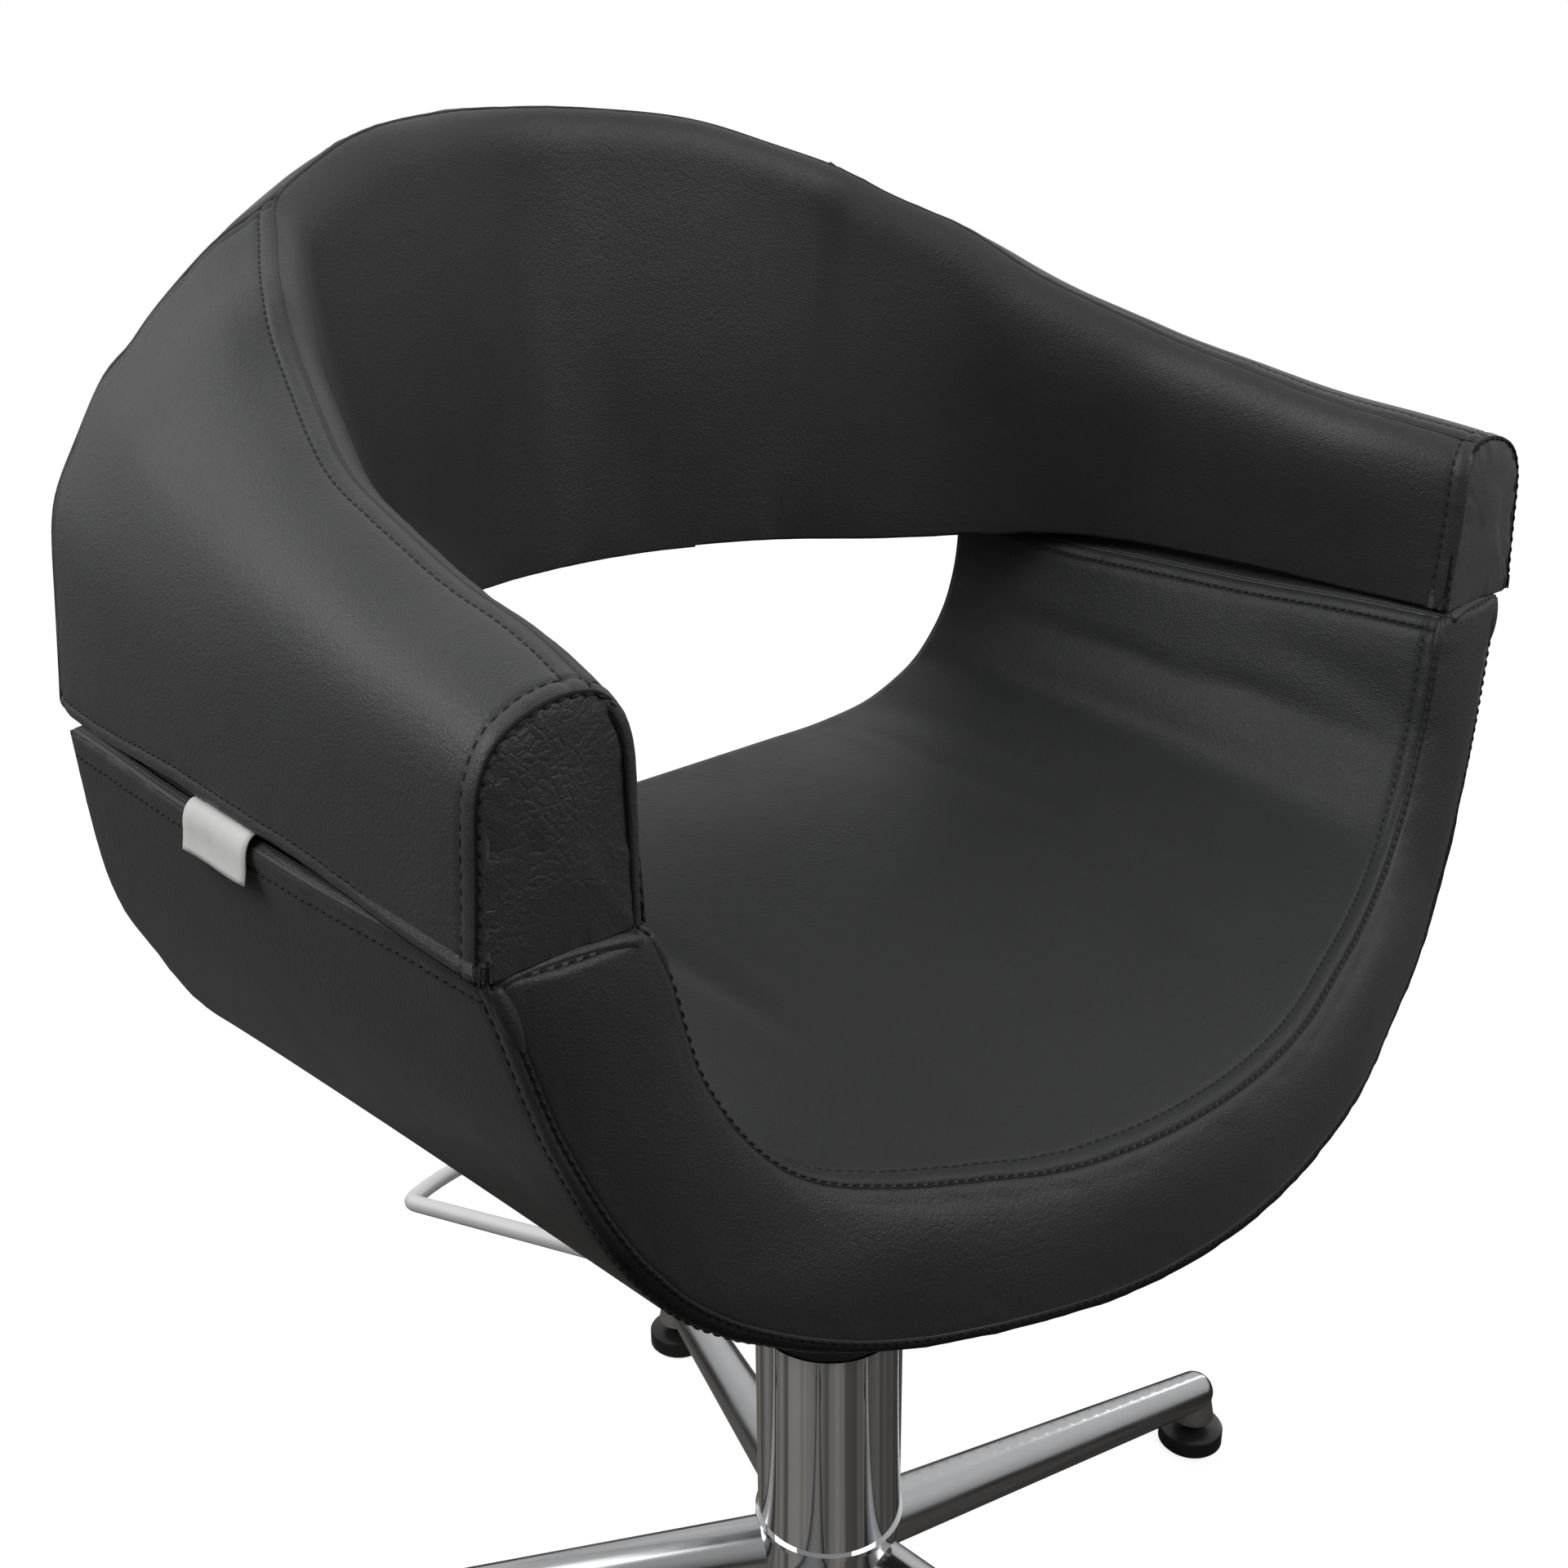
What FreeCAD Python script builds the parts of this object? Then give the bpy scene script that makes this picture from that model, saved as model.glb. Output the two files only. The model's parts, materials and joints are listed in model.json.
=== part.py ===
import FreeCAD, Part
import os, math

# Styling chair: five-star base, hydraulic pump column with foot pedal, U-shaped
# upholstered tub and C-shaped upholstered arm-and-back band.
# Units mm. Origin on the floor on the swivel axis. The sitter faces -Y, so the
# sitter's left is +X. +Z is up.

os.makedirs("parts", exist_ok=True)
V = FreeCAD.Vector

# ---------------------------------------------------------------- shared dimensions
FIT = 0.05                # radial clearance between running parts

LEG_COUNT, FIRST_LEG_ANGLE = 5, -5.9
BASE_R = 318.0            # swivel axis to the centre of each glide
LEG_ROOT_R, LEG_ROOT_Z, LEG_ROOT_RADIUS = 34.0, 92.8, 18.0
LEG_END_Z, LEG_END_RADIUS, LEG_WALL = 40.5, 13.0, 2.5
STEM_R, STEM_TOP = 5.0, LEG_END_Z + 4
GLIDE_R, GLIDE_H, GLIDE_BORE = 21.5, 15.0, 5.06
HUB_R, HUB_BORE, HUB_Z0, HUB_Z1 = 39.5, 33.2, 40.0, 119.6
RING_R, RING_T = 42.0, 3.0

COVER_R, COVER_BORE, COVER_Z0, COVER_Z1 = 40.4, 38.4, HUB_Z1 + RING_T, 252.4
HOUSING_R, HOUSING_BORE, HOUSING_Z0, HOUSING_Z1 = 33.0, 30.5, 18.0, 248.0
HEAD_Z0, HEAD_Z1 = 262.0, 342.0
CYLINDER_R, CYLINDER_BORE, CYLINDER_Z0 = 28.0, 24.0, 36.0
ROD_R, ROD_Z0, ROD_Z1 = 10.0, 30.0, 245.0
FLAT_Z1 = 214.0           # top of the rod's keyway flat, foot of the guide bush
RACE_R, RACE_BORE, UPPER_RACE_Z0 = 22.0, 5.0, 26.0

PIVOT_Y, PIVOT_Z, PIVOT_R = 35.0, 299.0, 6.0
PLUNGER_Y, PLUNGER_R, CAM_TIP_R = 13.0, 5.0, 5.0
PLUNGER_Z0 = PIVOT_Z + CAM_TIP_R + 0.1
PLUNGER_Z1 = PLUNGER_Z0 + 17.9
PLUNGER_BORE_TOP = 338.0
CAM_HALF_WIDTH = 8.5
SHAFT_END_X, SLEEVE_X0, SLEEVE_X1, SLEEVE_R = 88.0, 62.0, 86.0, 10.5

SPINDLE_R, FLANGE_T = 20.0, 6.0
PLATE_Z0, PLATE_T, PLATE_HALF = 392.0, 6.0, 100.0
PLATE_Z1 = PLATE_Z0 + PLATE_T
BOLT_R, INSERT_R, INSERT_TOP = 4.0, 6.0, PLATE_Z0 + 17.0
BOLT_POINTS = [(80, 80), (-80, 80), (-80, -80), (80, -80)]

BLOCK_X, BLOCK_Y, BLOCK_TOP = 118.0, 108.0, 470
TUB_TOP, BAND_BOTTOM, TUB_REAR_Y = 628.0, 634.0, 140.0
COVER_T, SHELL_T, FRONT_T, REAR_T = 10.0, 15.0, 12.0, 10.0
SKIN_GAP, BAND_GAP = 0.4, 1.0
STUD_R, STUD_X, STUD_Y = 3.5, 278.5, (-112.0, 40.0)
STUD_Z0, STUD_Z1, STUD_CLEARANCE = 596.0, 668.0, 0.3
STUD_POINTS = [(side * STUD_X, y) for side in (1, -1) for y in STUD_Y]

# ---------------------------------------------------------------- shape tables
# Half outlines of the tub skins on the +X side; every list runs from the arm top
# to the centre of the seat. Front outlines are (x, y, z), rear outlines (x, z).
TUB_OUTER_FRONT = [
    (312.5, -172, 628), (305.5, -175, 605.5), (297.5, -178, 575.5), (289, -181, 551),
    (279.5, -184, 527), (266.5, -188, 503.5), (249, -193, 483.5), (224.5, -201, 467),
    (197, -208, 453.5), (167, -216, 443.5), (131.5, -227, 437.5), (98.5, -234, 432),
    (68.5, -238, 427), (32, -242, 424.8), (0, -243, 424)]
TUB_INNER_FRONT = [
    (249.5, -176, 628), (243.5, -177.5, 612), (239, -179, 594), (234.5, -180, 577),
    (228, -181.5, 562), (219, -184, 546), (207, -187, 531), (190, -192, 518),
    (167, -199, 509), (142, -206, 502), (117, -212, 496), (92, -218, 490),
    (67, -223, 487), (35, -227, 485), (0, -229, 485)]
TUB_OUTER_REAR = [
    (307, 628), (304.6, 597), (297.2, 550), (284.8, 522.5), (274, 500), (258.6, 479.7),
    (239.5, 464), (217, 448.2), (191.8, 435.1), (164, 424.2), (130, 417.6), (97.2, 412),
    (67.6, 407.6), (31.8, 404.6), (0, 403.2)]
TUB_INNER_REAR = [
    (243, 628), (242, 612), (239, 597), (234.5, 585), (228, 574), (219, 563), (207, 552),
    (190, 543), (167, 535), (142, 531.5), (117, 530), (92, 530), (67, 530), (35, 530),
    (0, 530)]
TUB_ROWS = len(TUB_OUTER_FRONT)
ARM_ROWS = 6              # rows whose inner skin narrows late towards the rear
# depth of the shell's outer face below the outer skin, one value per row
SHELL_DEPTHS = [23, 21, 19, 17, 15, 13, 11] + [10.4] * 8
DEPTH_STEPS = [0.12, 0.3, 0.5, 0.75]    # stations between front (0) and rear (1)

# Half lines of the band on the +X side, from the arm end to the centre of the back.
# Inner bottom edge and outer bottom edge are (x, y), the top ridge is (x, y, z).
INNER_EDGE = [
    (251.5, -166.4), (254.5, -130), (254.5, -90), (253, -50), (252.5, -10), (249, 22),
    (238, 57), (222, 82), (200, 101.5), (176, 121), (151, 145), (128, 167.5),
    (106, 180.5), (85, 190.5), (64, 198.5), (42, 204), (21, 207), (0, 208)]
RIDGE = [
    (266.5, -166.4, 717), (258, -130, 723.5), (254.8, -90, 730), (251, -50, 740),
    (246, -10, 750.5), (238, 21, 762), (226, 55, 776), (216, 84, 791), (206, 107, 805),
    (193, 132, 816), (181, 153, 826.5), (168, 172, 837), (141, 190, 848),
    (113, 204, 858), (85, 215, 864), (56, 226, 867), (28, 234, 868.7), (0, 237, 869)]
OUTER_EDGE = [
    (317, -166.4), (315, -130), (312.5, -90), (310.5, -50), (309, -10), (307.5, 20),
    (306, 55), (304.8, 84), (303.4, 112), (301.5, 140), (299.5, 160), (296, 172),
    (245, 201), (196, 224), (147, 241), (98, 252.7), (49, 259.7), (0, 262)]
BACK_CENTRE = len(RIDGE) - 1
CORNER, BACK_START = 11, 16    # stations where the corner and back profiles are reached
# Outer profiles of the band: (fraction of the way out from ridge to outer edge,
# fraction of the ridge height above the band bottom).
ARM_PROFILE = [
    (0, 1.0), (.15, 1.015), (.32, 1.012), (.5, .985), (.66, .94), (.78, .875),
    (.86, .79), (.91, .67), (.94, .45), (.97, .2), (1, 0)]
CORNER_PROFILE = [
    (0, 1), (.117, .955), (.234, .915), (.375, .846), (.516, .766), (.60, .711),
    (.695, .657), (.82, .532), (.914, .418), (.953, .26), (1, 0)]
BACK_PROFILE = [
    (0, 1), (.15, .995), (.3, .985), (.45, .965), (.6, .93), (.7, .88), (.78, .8),
    (.85, .67), (.91, .5), (.96, .25), (1, 0)]


# ---------------------------------------------------------------- helpers
def save(name, shape):
    shape.exportStep("parts/%s.step" % name)


def save_group(name, shapes):
    save(name, Part.makeCompound(shapes))


def cylinder(radius, z0, z1, x=0.0, y=0.0):
    return Part.makeCylinder(radius, z1 - z0, V(x, y, z0), V(0, 0, 1))


def pivot_cylinder(radius, x0, x1, y=PIVOT_Y):
    """Cylinder along X at the pivot height."""
    return Part.makeCylinder(radius, x1 - x0, V(x0, y, PIVOT_Z), V(1, 0, 0))


def pivot_tube(radius, x0, x1):
    bore = pivot_cylinder(PIVOT_R, x0 - 1, x1 + 1)
    return pivot_cylinder(radius, x0, x1).cut(bore)


def box(x0, x1, y0, y1, z0, z1):
    return Part.makeBox(x1 - x0, y1 - y0, z1 - z0, V(x0, y0, z0))


def tube(radius, bore, z0, z1, x=0.0, y=0.0):
    return cylinder(radius, z0, z1, x, y).cut(cylinder(bore, z0 - 1, z1 + 1, x, y))


def drill(shape, points, radius, z0, z1):
    for x, y in points:
        shape = shape.cut(cylinder(radius, z0, z1, x, y))
    return shape


def ring_points(count, radius, start):
    """Evenly spaced (x, y) points round the swivel axis, start in degrees."""
    angles = [math.radians(start + 360.0 / count * k) for k in range(count)]
    return [(radius * math.cos(a), radius * math.sin(a)) for a in angles]


def face(points):
    return Part.Face(Part.makePolygon(points + [points[0]]))


def revolve(profile, x, y):
    """Turn an (r, z) profile round a vertical axis through (x, y)."""
    solid = face([V(r, 0, z) for r, z in profile]).revolve(V(0, 0, 0), V(0, 0, 1), 360)
    solid.translate(V(x, y, 0))
    return solid


def sweep_circle(path, radius, centre, direction):
    circle = Part.Wire([Part.makeCircle(radius, centre, direction)])
    return path.makePipeShell([circle], True, False)


def mirror_x(shape):
    return shape.mirror(V(0, 0, 0), V(1, 0, 0))


def loft_both_sides(half):
    """Loft from the +X arm through the centre section to the mirrored -X arm."""
    mirrored = [[V(-p.x, p.y, p.z) for p in section] for section in reversed(half[:-1])]
    wires = [Part.makePolygon(s + [s[0]]) for s in half + mirrored]
    solid = Part.makeLoft(wires, True, False)
    if solid.Volume < 0:
        solid.reverse()
    return solid


def lowest_solid(shape):
    return sorted(shape.Solids, key=lambda s: s.CenterOfMass.z)[0]


def lerp(a, b, t):
    return a + (b - a) * t


# ---------------------------------------------------------------- base
def star_leg(root, end):
    """Tapered tube from the hub to a solid rounded end over the glide."""
    start = V(*root, LEG_ROOT_Z)
    tip = V(*end, LEG_END_Z)
    run = tip.sub(start)
    leg = Part.makeCone(LEG_ROOT_RADIUS, LEG_END_RADIUS, run.Length, start, run)
    leg = leg.fuse(Part.makeSphere(LEG_END_RADIUS, tip))
    hollow = Part.makeCone(LEG_ROOT_RADIUS - LEG_WALL, LEG_END_RADIUS - LEG_WALL + 0.3,
                           run.Length * 0.9, start, run)
    leg = leg.cut(hollow)
    leg = leg.cut(cylinder(HUB_R, HUB_Z0 - 30, HUB_Z1 + 30))
    return leg.cut(cylinder(STEM_R, 0, STEM_TOP, *end)).removeSplitter()


def glide_stem(leg, x, y):
    """Stud with a waisted collar that closes in around the leg end."""
    stud = cylinder(STEM_R, 5.0, STEM_TOP, x, y)
    collar = revolve([(0, GLIDE_H + 0.5), (6.5, GLIDE_H + 0.5), (14.6, 21.5),
                      (14.6, 22.5), (11.8, 38.0), (0, 38.0)], x, y)
    collar = collar.cut(leg).cut(cylinder(STEM_R, 0, 60, x, y))
    collar = collar.common(cylinder(30, 0, 36.5, x, y))
    # only the piece below the leg wall is kept
    return lowest_solid(collar).fuse(stud).removeSplitter()


def glide_pad(x, y):
    return revolve([(0, 0), (20.0, 0), (GLIDE_R, 1.6), (GLIDE_R, 11.6), (21.0, 12.4),
                    (19.6, 12.9), (9.0, GLIDE_H), (GLIDE_BORE, GLIDE_H),
                    (GLIDE_BORE, 4.6), (0, 4.6)], x, y)


def build_base():
    save("base_hub", tube(HUB_R, HUB_BORE, HUB_Z0, HUB_Z1))
    save("hub_ring", tube(RING_R, HUB_BORE, HUB_Z1, COVER_Z0))
    roots = ring_points(LEG_COUNT, LEG_ROOT_R, FIRST_LEG_ANGLE)
    ends = ring_points(LEG_COUNT, BASE_R, FIRST_LEG_ANGLE)
    stems = []
    for number, (root, end) in enumerate(zip(roots, ends), 1):
        leg = star_leg(root, end)
        stems.append(glide_stem(leg, *end))
        save("leg_%d" % number, leg)
        save("glide_pad_%d" % number, glide_pad(*end))
    save_group("glide_stems", stems)


# ---------------------------------------------------------------- column, fixed side
def build_housing_foot():
    bottom = 10.0
    points = ring_points(4, 29.0, 45)
    foot = cylinder(HOUSING_R, bottom, HOUSING_Z0)
    save("housing_foot", drill(foot, points, 2.0, 5, 30))
    screws = []
    for x, y in points:
        shank = cylinder(1.9, bottom, 17.5, x, y)
        screws.append(shank.fuse(cylinder(3.4, 8.2, bottom, x, y)).removeSplitter())
    save_group("foot_screws", screws)


def build_column():
    save("column_cover", tube(COVER_R, COVER_BORE, COVER_Z0, COVER_Z1))
    save("pump_housing", tube(HOUSING_R, HOUSING_BORE, HOUSING_Z0, HOUSING_Z1))
    spacer_r, spacer_bore, spacer_h = COVER_BORE - 0.1, HOUSING_R + 0.1, 10.0
    for name, z0 in (("lower", 126.0), ("upper", 236.0)):
        save("cover_%s_spacer" % name, tube(spacer_r, spacer_bore, z0, z0 + spacer_h))
    sliding_bore = CYLINDER_R + FIT
    save("guide_bush", tube(HOUSING_BORE, sliding_bore, FLAT_Z1, 246.0))
    save("wiper_ring", tube(COVER_BORE - 0.2, sliding_bore, HOUSING_Z1, 251.6))


def build_thrust_bearing():
    """Two races with caged balls between them, under the rod."""
    lower_top = HOUSING_Z0 + 3.0
    ball_z = (lower_top + UPPER_RACE_Z0) / 2
    ball_r = (UPPER_RACE_Z0 - lower_top) / 2 - FIT
    points = ring_points(10, 15.0, 0)
    save("thrust_race_lower", tube(RACE_R, RACE_BORE, HOUSING_Z0, lower_top))
    save("thrust_race_upper", tube(RACE_R, RACE_BORE, UPPER_RACE_Z0, ROD_Z0))
    save_group("thrust_balls", [Part.makeSphere(ball_r, V(x, y, ball_z)) for x, y in points])
    cage = tube(19.5, 8.0, ball_z - 0.9, ball_z + 0.9)
    save("ball_cage", drill(cage, points, 2.6, 20, 27))


# ---------------------------------------------------------------- rod and cylinder
def piston_rod():
    rod = cylinder(ROD_R, ROD_Z0, ROD_Z1)
    rod = rod.fuse(cylinder(RACE_BORE - FIT, 25.0, ROD_Z0)).removeSplitter()
    # the flat stops the cylinder from turning on the rod
    return rod.cut(box(8.6, 12.0, -12.0, 12.0, 32.0, FLAT_Z1))


def build_piston():
    nut_z0 = ROD_Z1 - 3.0
    groove_r = CYLINDER_BORE - 3.0
    groove_z0, groove_z1, seal_gap = 231.5, 236.5, 0.2
    piston = tube(CYLINDER_BORE - FIT, ROD_R, 226.0, nut_z0)
    save("piston", piston.cut(tube(CYLINDER_BORE + 1, groove_r, groove_z0, groove_z1)))
    save("piston_seal", tube(CYLINDER_BORE - 0.04, groove_r,
                             groove_z0 + seal_gap, groove_z1 - seal_gap))
    save("piston_nut", tube(13.5, ROD_R, nut_z0, ROD_Z1))


def rod_gland():
    """Ring at the foot of the cylinder, with a key that runs on the rod's flat."""
    z0, z1 = 38.0, 58.0
    gland = tube(CYLINDER_BORE, ROD_R + FIT, z0, z1)
    return gland.fuse(box(8.65, 10.2, -3.0, 3.0, z0, z1)).removeSplitter()


# ---------------------------------------------------------------- pump head
FLANGE_SCREW_POINTS = ring_points(4, 27.0, 45)


def pump_head():
    lug_x, lug_r = 30, 14.0
    head = cylinder(36.0, HEAD_Z0, HEAD_Z1)
    head = head.common(box(-34, 34, -36, 60, HEAD_Z0, HEAD_Z1))
    lug = box(-lug_x, lug_x, 0.0, PIVOT_Y, HEAD_Z0 + 18, PIVOT_Z + lug_r)
    lug = lug.fuse(pivot_cylinder(lug_r, -lug_x, lug_x))
    head = head.fuse(lug).removeSplitter()
    head = head.cut(pivot_cylinder(PIVOT_R + FIT, -50, 50))
    # slot for the rocker cam, then the bore for the plunger and its spring
    slot_x = CAM_HALF_WIDTH + 0.5
    head = head.cut(box(-slot_x, slot_x, PLUNGER_Y - 8.0, PIVOT_Y + 20.0,
                        PIVOT_Z - 16.0, PIVOT_Z + 14.5))
    head = head.cut(cylinder(PLUNGER_R + FIT, PIVOT_Z, PLUNGER_BORE_TOP, 0, PLUNGER_Y))
    return drill(head, FLANGE_SCREW_POINTS, 2.6, HEAD_Z1 - 12, HEAD_Z1 + 1)


def plunger_spring():
    turns, steps = 4, 20
    wire_r, coil_r, end_gap = 0.7, 3.9, 0.05
    height = PLUNGER_BORE_TOP - PLUNGER_Z1 - 2 * wire_r - 2 * end_gap
    pitch = height / turns
    points = []
    for k in range(turns * steps + 1):
        angle = 2 * math.pi * k / steps
        points.append(V(coil_r * math.cos(angle), coil_r * math.sin(angle),
                        pitch * k / steps))
    helix = Part.BSplineCurve()
    helix.interpolate(points)
    helix = helix.toShape()
    tangent = helix.tangentAt(helix.FirstParameter)
    spring = sweep_circle(Part.Wire([helix]), wire_r, points[0], tangent)
    spring.translate(V(0, PLUNGER_Y, PLUNGER_Z1 + wire_r + end_gap))
    return spring


def build_pump():
    save("piston_rod", piston_rod())
    build_piston()
    save("pump_cylinder", tube(CYLINDER_R, CYLINDER_BORE, CYLINDER_Z0, HEAD_Z0))
    save("rod_gland", rod_gland())
    save("pump_head", pump_head())
    save("pump_plunger", cylinder(PLUNGER_R, PLUNGER_Z0, PLUNGER_Z1, 0, PLUNGER_Y))
    save("plunger_spring", plunger_spring())


# ---------------------------------------------------------------- seat support
def gusset(angle):
    """Web under the seat plate with its lower outer corner cut off."""
    web = box(18.0, 44.0, -2.5, 2.5, PLATE_Z0 - 24.0, PLATE_Z0)
    corner = face([V(20, -5, PLATE_Z0 - 25), V(46, -5, PLATE_Z0 - 25),
                   V(46, -5, PLATE_Z0 - 4)])
    web = web.cut(corner.extrude(V(0, 10, 0)))
    web.rotate(V(0, 0, 0), V(0, 0, 1), angle)
    return web


def seat_spindle():
    flange_top = HEAD_Z1 + FLANGE_T
    spindle = cylinder(SPINDLE_R, flange_top, PLATE_Z0)
    spindle = spindle.fuse(cylinder(35.0, HEAD_Z1, flange_top))
    spindle = spindle.fuse(Part.makeCone(26.0, SPINDLE_R, 8.0, V(0, 0, flange_top),
                                         V(0, 0, 1)))
    for angle in (45, 135, 225, 315):
        spindle = spindle.fuse(gusset(angle))
    spindle = drill(spindle, FLANGE_SCREW_POINTS, 2.7, HEAD_Z1 - 1, HEAD_Z1 + 20)
    return spindle.removeSplitter()


def seat_plate():
    plate = box(-PLATE_HALF, PLATE_HALF, -PLATE_HALF, PLATE_HALF, PLATE_Z0, PLATE_Z1)
    upright = [e for e in plate.Edges if abs(e.Vertexes[0].Z - e.Vertexes[-1].Z) > 1]
    plate = plate.makeFillet(18.0, upright)
    return drill(plate, BOLT_POINTS, 4.4, PLATE_Z0 - 1, PLATE_Z1 + 1)


def seat_bolt(x, y, head_top):
    head_r, head_h = 7.5, 5.4
    corners = [V(x + dx, y + dy, head_top - head_h) for dx, dy in ring_points(6, head_r, 0)]
    head = face(corners).extrude(V(0, 0, head_h))
    return head.fuse(cylinder(BOLT_R, head_top, PLATE_Z0 + 16.0, x, y)).removeSplitter()


def build_seat_support():
    save("seat_spindle", seat_spindle())
    save_group("spindle_screws", [cylinder(2.5, HEAD_Z1 - 11, HEAD_Z1 + FLANGE_T, x, y)
                                  for x, y in FLANGE_SCREW_POINTS])
    save("seat_plate", seat_plate())
    washer_z0 = PLATE_Z0 - 1.6
    save_group("seat_bolts", [seat_bolt(x, y, washer_z0) for x, y in BOLT_POINTS])
    save_group("seat_washers", [tube(8.5, 4.2, washer_z0, PLATE_Z0, x, y)
                                for x, y in BOLT_POINTS])
    save_group("threaded_inserts",
               [tube(INSERT_R, BOLT_R + FIT, PLATE_Z1 + 0.5, INSERT_TOP, x, y)
                for x, y in BOLT_POINTS])


# ---------------------------------------------------------------- pedal
def rocker_cam():
    half, arm_half_h = CAM_HALF_WIDTH, 4.9
    cam = pivot_cylinder(11.0, -half, half)
    cam = cam.fuse(box(-half, half, PLUNGER_Y, PIVOT_Y,
                       PIVOT_Z - arm_half_h, PIVOT_Z + arm_half_h))
    cam = cam.fuse(pivot_cylinder(CAM_TIP_R, -half, half, PLUNGER_Y))
    return cam.cut(pivot_cylinder(PIVOT_R, -20, 20)).removeSplitter()


def pedal_point(x, y):
    """Point on the pedal's sloping plane, which falls to the rear."""
    return V(x, y, 215.0 + (290.0 - y) * 0.33)


def pedal_loop():
    """Round rod: two arms and a bowed foot bar joined by rounded corners."""
    arm_x, end_y, bow_depth = 75.0, 312.0, 19.0
    root_y, arm_end_y = PIVOT_Y + 9.0, end_y - 16.0
    bar_x, bar_y = arm_x - 14.0, end_y + 4.0
    corner_x, corner_y = arm_x - 2.6, end_y - 3.6

    right_root, right_end = pedal_point(-arm_x, root_y), pedal_point(-arm_x, arm_end_y)
    left_root, left_end = pedal_point(arm_x, root_y), pedal_point(arm_x, arm_end_y)
    bar_right, bar_left = pedal_point(-bar_x, bar_y), pedal_point(bar_x, bar_y)
    rearward = right_end.sub(right_root).normalize()
    bar = Part.Arc(bar_right, pedal_point(0, end_y + bow_depth), bar_left).toShape()

    right_corner = Part.BSplineCurve()
    right_corner.interpolate([right_end, pedal_point(-corner_x, corner_y), bar_right],
                             InitialTangent=rearward,
                             FinalTangent=bar.tangentAt(bar.FirstParameter))
    left_corner = Part.BSplineCurve()
    left_corner.interpolate([bar_left, pedal_point(corner_x, corner_y), left_end],
                            InitialTangent=bar.tangentAt(bar.LastParameter),
                            FinalTangent=rearward * -1)
    path = Part.Wire([Part.makeLine(right_root, right_end), right_corner.toShape(), bar,
                      left_corner.toShape(), Part.makeLine(left_end, left_root)])
    loop = sweep_circle(path, 5.25, right_root, rearward)
    return loop.cut(pivot_cylinder(SLEEVE_R, -90, 90))


def build_pedal():
    save("pedal_shaft", pivot_cylinder(PIVOT_R, -SHAFT_END_X, SHAFT_END_X))
    save("rocker_cam", rocker_cam())
    save_group("pedal_sleeves", [pivot_tube(SLEEVE_R, -SLEEVE_X1, -SLEEVE_X0),
                                 pivot_tube(SLEEVE_R, SLEEVE_X0, SLEEVE_X1)])
    save_group("shaft_collars", [pivot_tube(9.0, -SHAFT_END_X, -SLEEVE_X1),
                                 pivot_tube(9.0, SLEEVE_X1, SHAFT_END_X)])
    save("pedal_loop", pedal_loop())


# ---------------------------------------------------------------- tub
# back is the position from the front outline (0) to the rear outline (1)
def tub_outer(row, back):
    x, y, z = TUB_OUTER_FRONT[row]
    rear_x, rear_z = TUB_OUTER_REAR[row]
    drop = 1 - (1 - back) ** 0.9
    return V(lerp(x, rear_x, back), lerp(y, TUB_REAR_Y, back), lerp(z, rear_z, drop))


def tub_inner(row, back):
    x, y, z = TUB_INNER_FRONT[row]
    rear_x, rear_z = TUB_INNER_REAR[row]
    narrowing = back ** 2.2 if row < ARM_ROWS else back
    rise = 1 - (1 - back) ** 2.2
    return V(lerp(x, rear_x, narrowing), lerp(y, TUB_REAR_Y, back), lerp(z, rear_z, rise))


def tub_point(row, back, depth):
    """Point at a depth in from the outer skin towards the inner skin."""
    outer = tub_outer(row, back)
    across = tub_inner(row, back).sub(outer)
    return outer.add(across.multiply(depth / across.Length))


def tub_length(row):
    return TUB_REAR_Y - TUB_OUTER_FRONT[row][1]


def tub_layer(outer_depths, inner_depths=None):
    """Layer between two depths, or in to the inner skin, clear of both end bands."""
    half = []
    for row in range(TUB_ROWS):
        length = tub_length(row)
        stations = [(FRONT_T + SKIN_GAP) / length] + DEPTH_STEPS
        stations.append(1 - (REAR_T + SKIN_GAP) / length)
        lower = [tub_point(row, back, outer_depths[row]) for back in stations]
        if inner_depths is None:
            upper = [tub_inner(row, back) for back in stations]
        else:
            upper = [tub_point(row, back, inner_depths[row]) for back in stations]
        half.append(lower + upper[::-1])
    return loft_both_sides(half)


def end_band(spans):
    """Full-thickness band; spans holds each row's first and last position."""
    return loft_both_sides([[tub_outer(row, a), tub_inner(row, a),
                             tub_inner(row, b), tub_outer(row, b)]
                            for row, (a, b) in enumerate(spans)])


def mount_block(shell):
    """Block above the seat plate, its top shaped to the underside of the shell."""
    block = box(-BLOCK_X, BLOCK_X, -BLOCK_Y, BLOCK_Y, PLATE_Z1, BLOCK_TOP)
    block = lowest_solid(block.cut(shell))
    return drill(block, BOLT_POINTS, INSERT_R, PLATE_Z0, INSERT_TOP)


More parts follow.
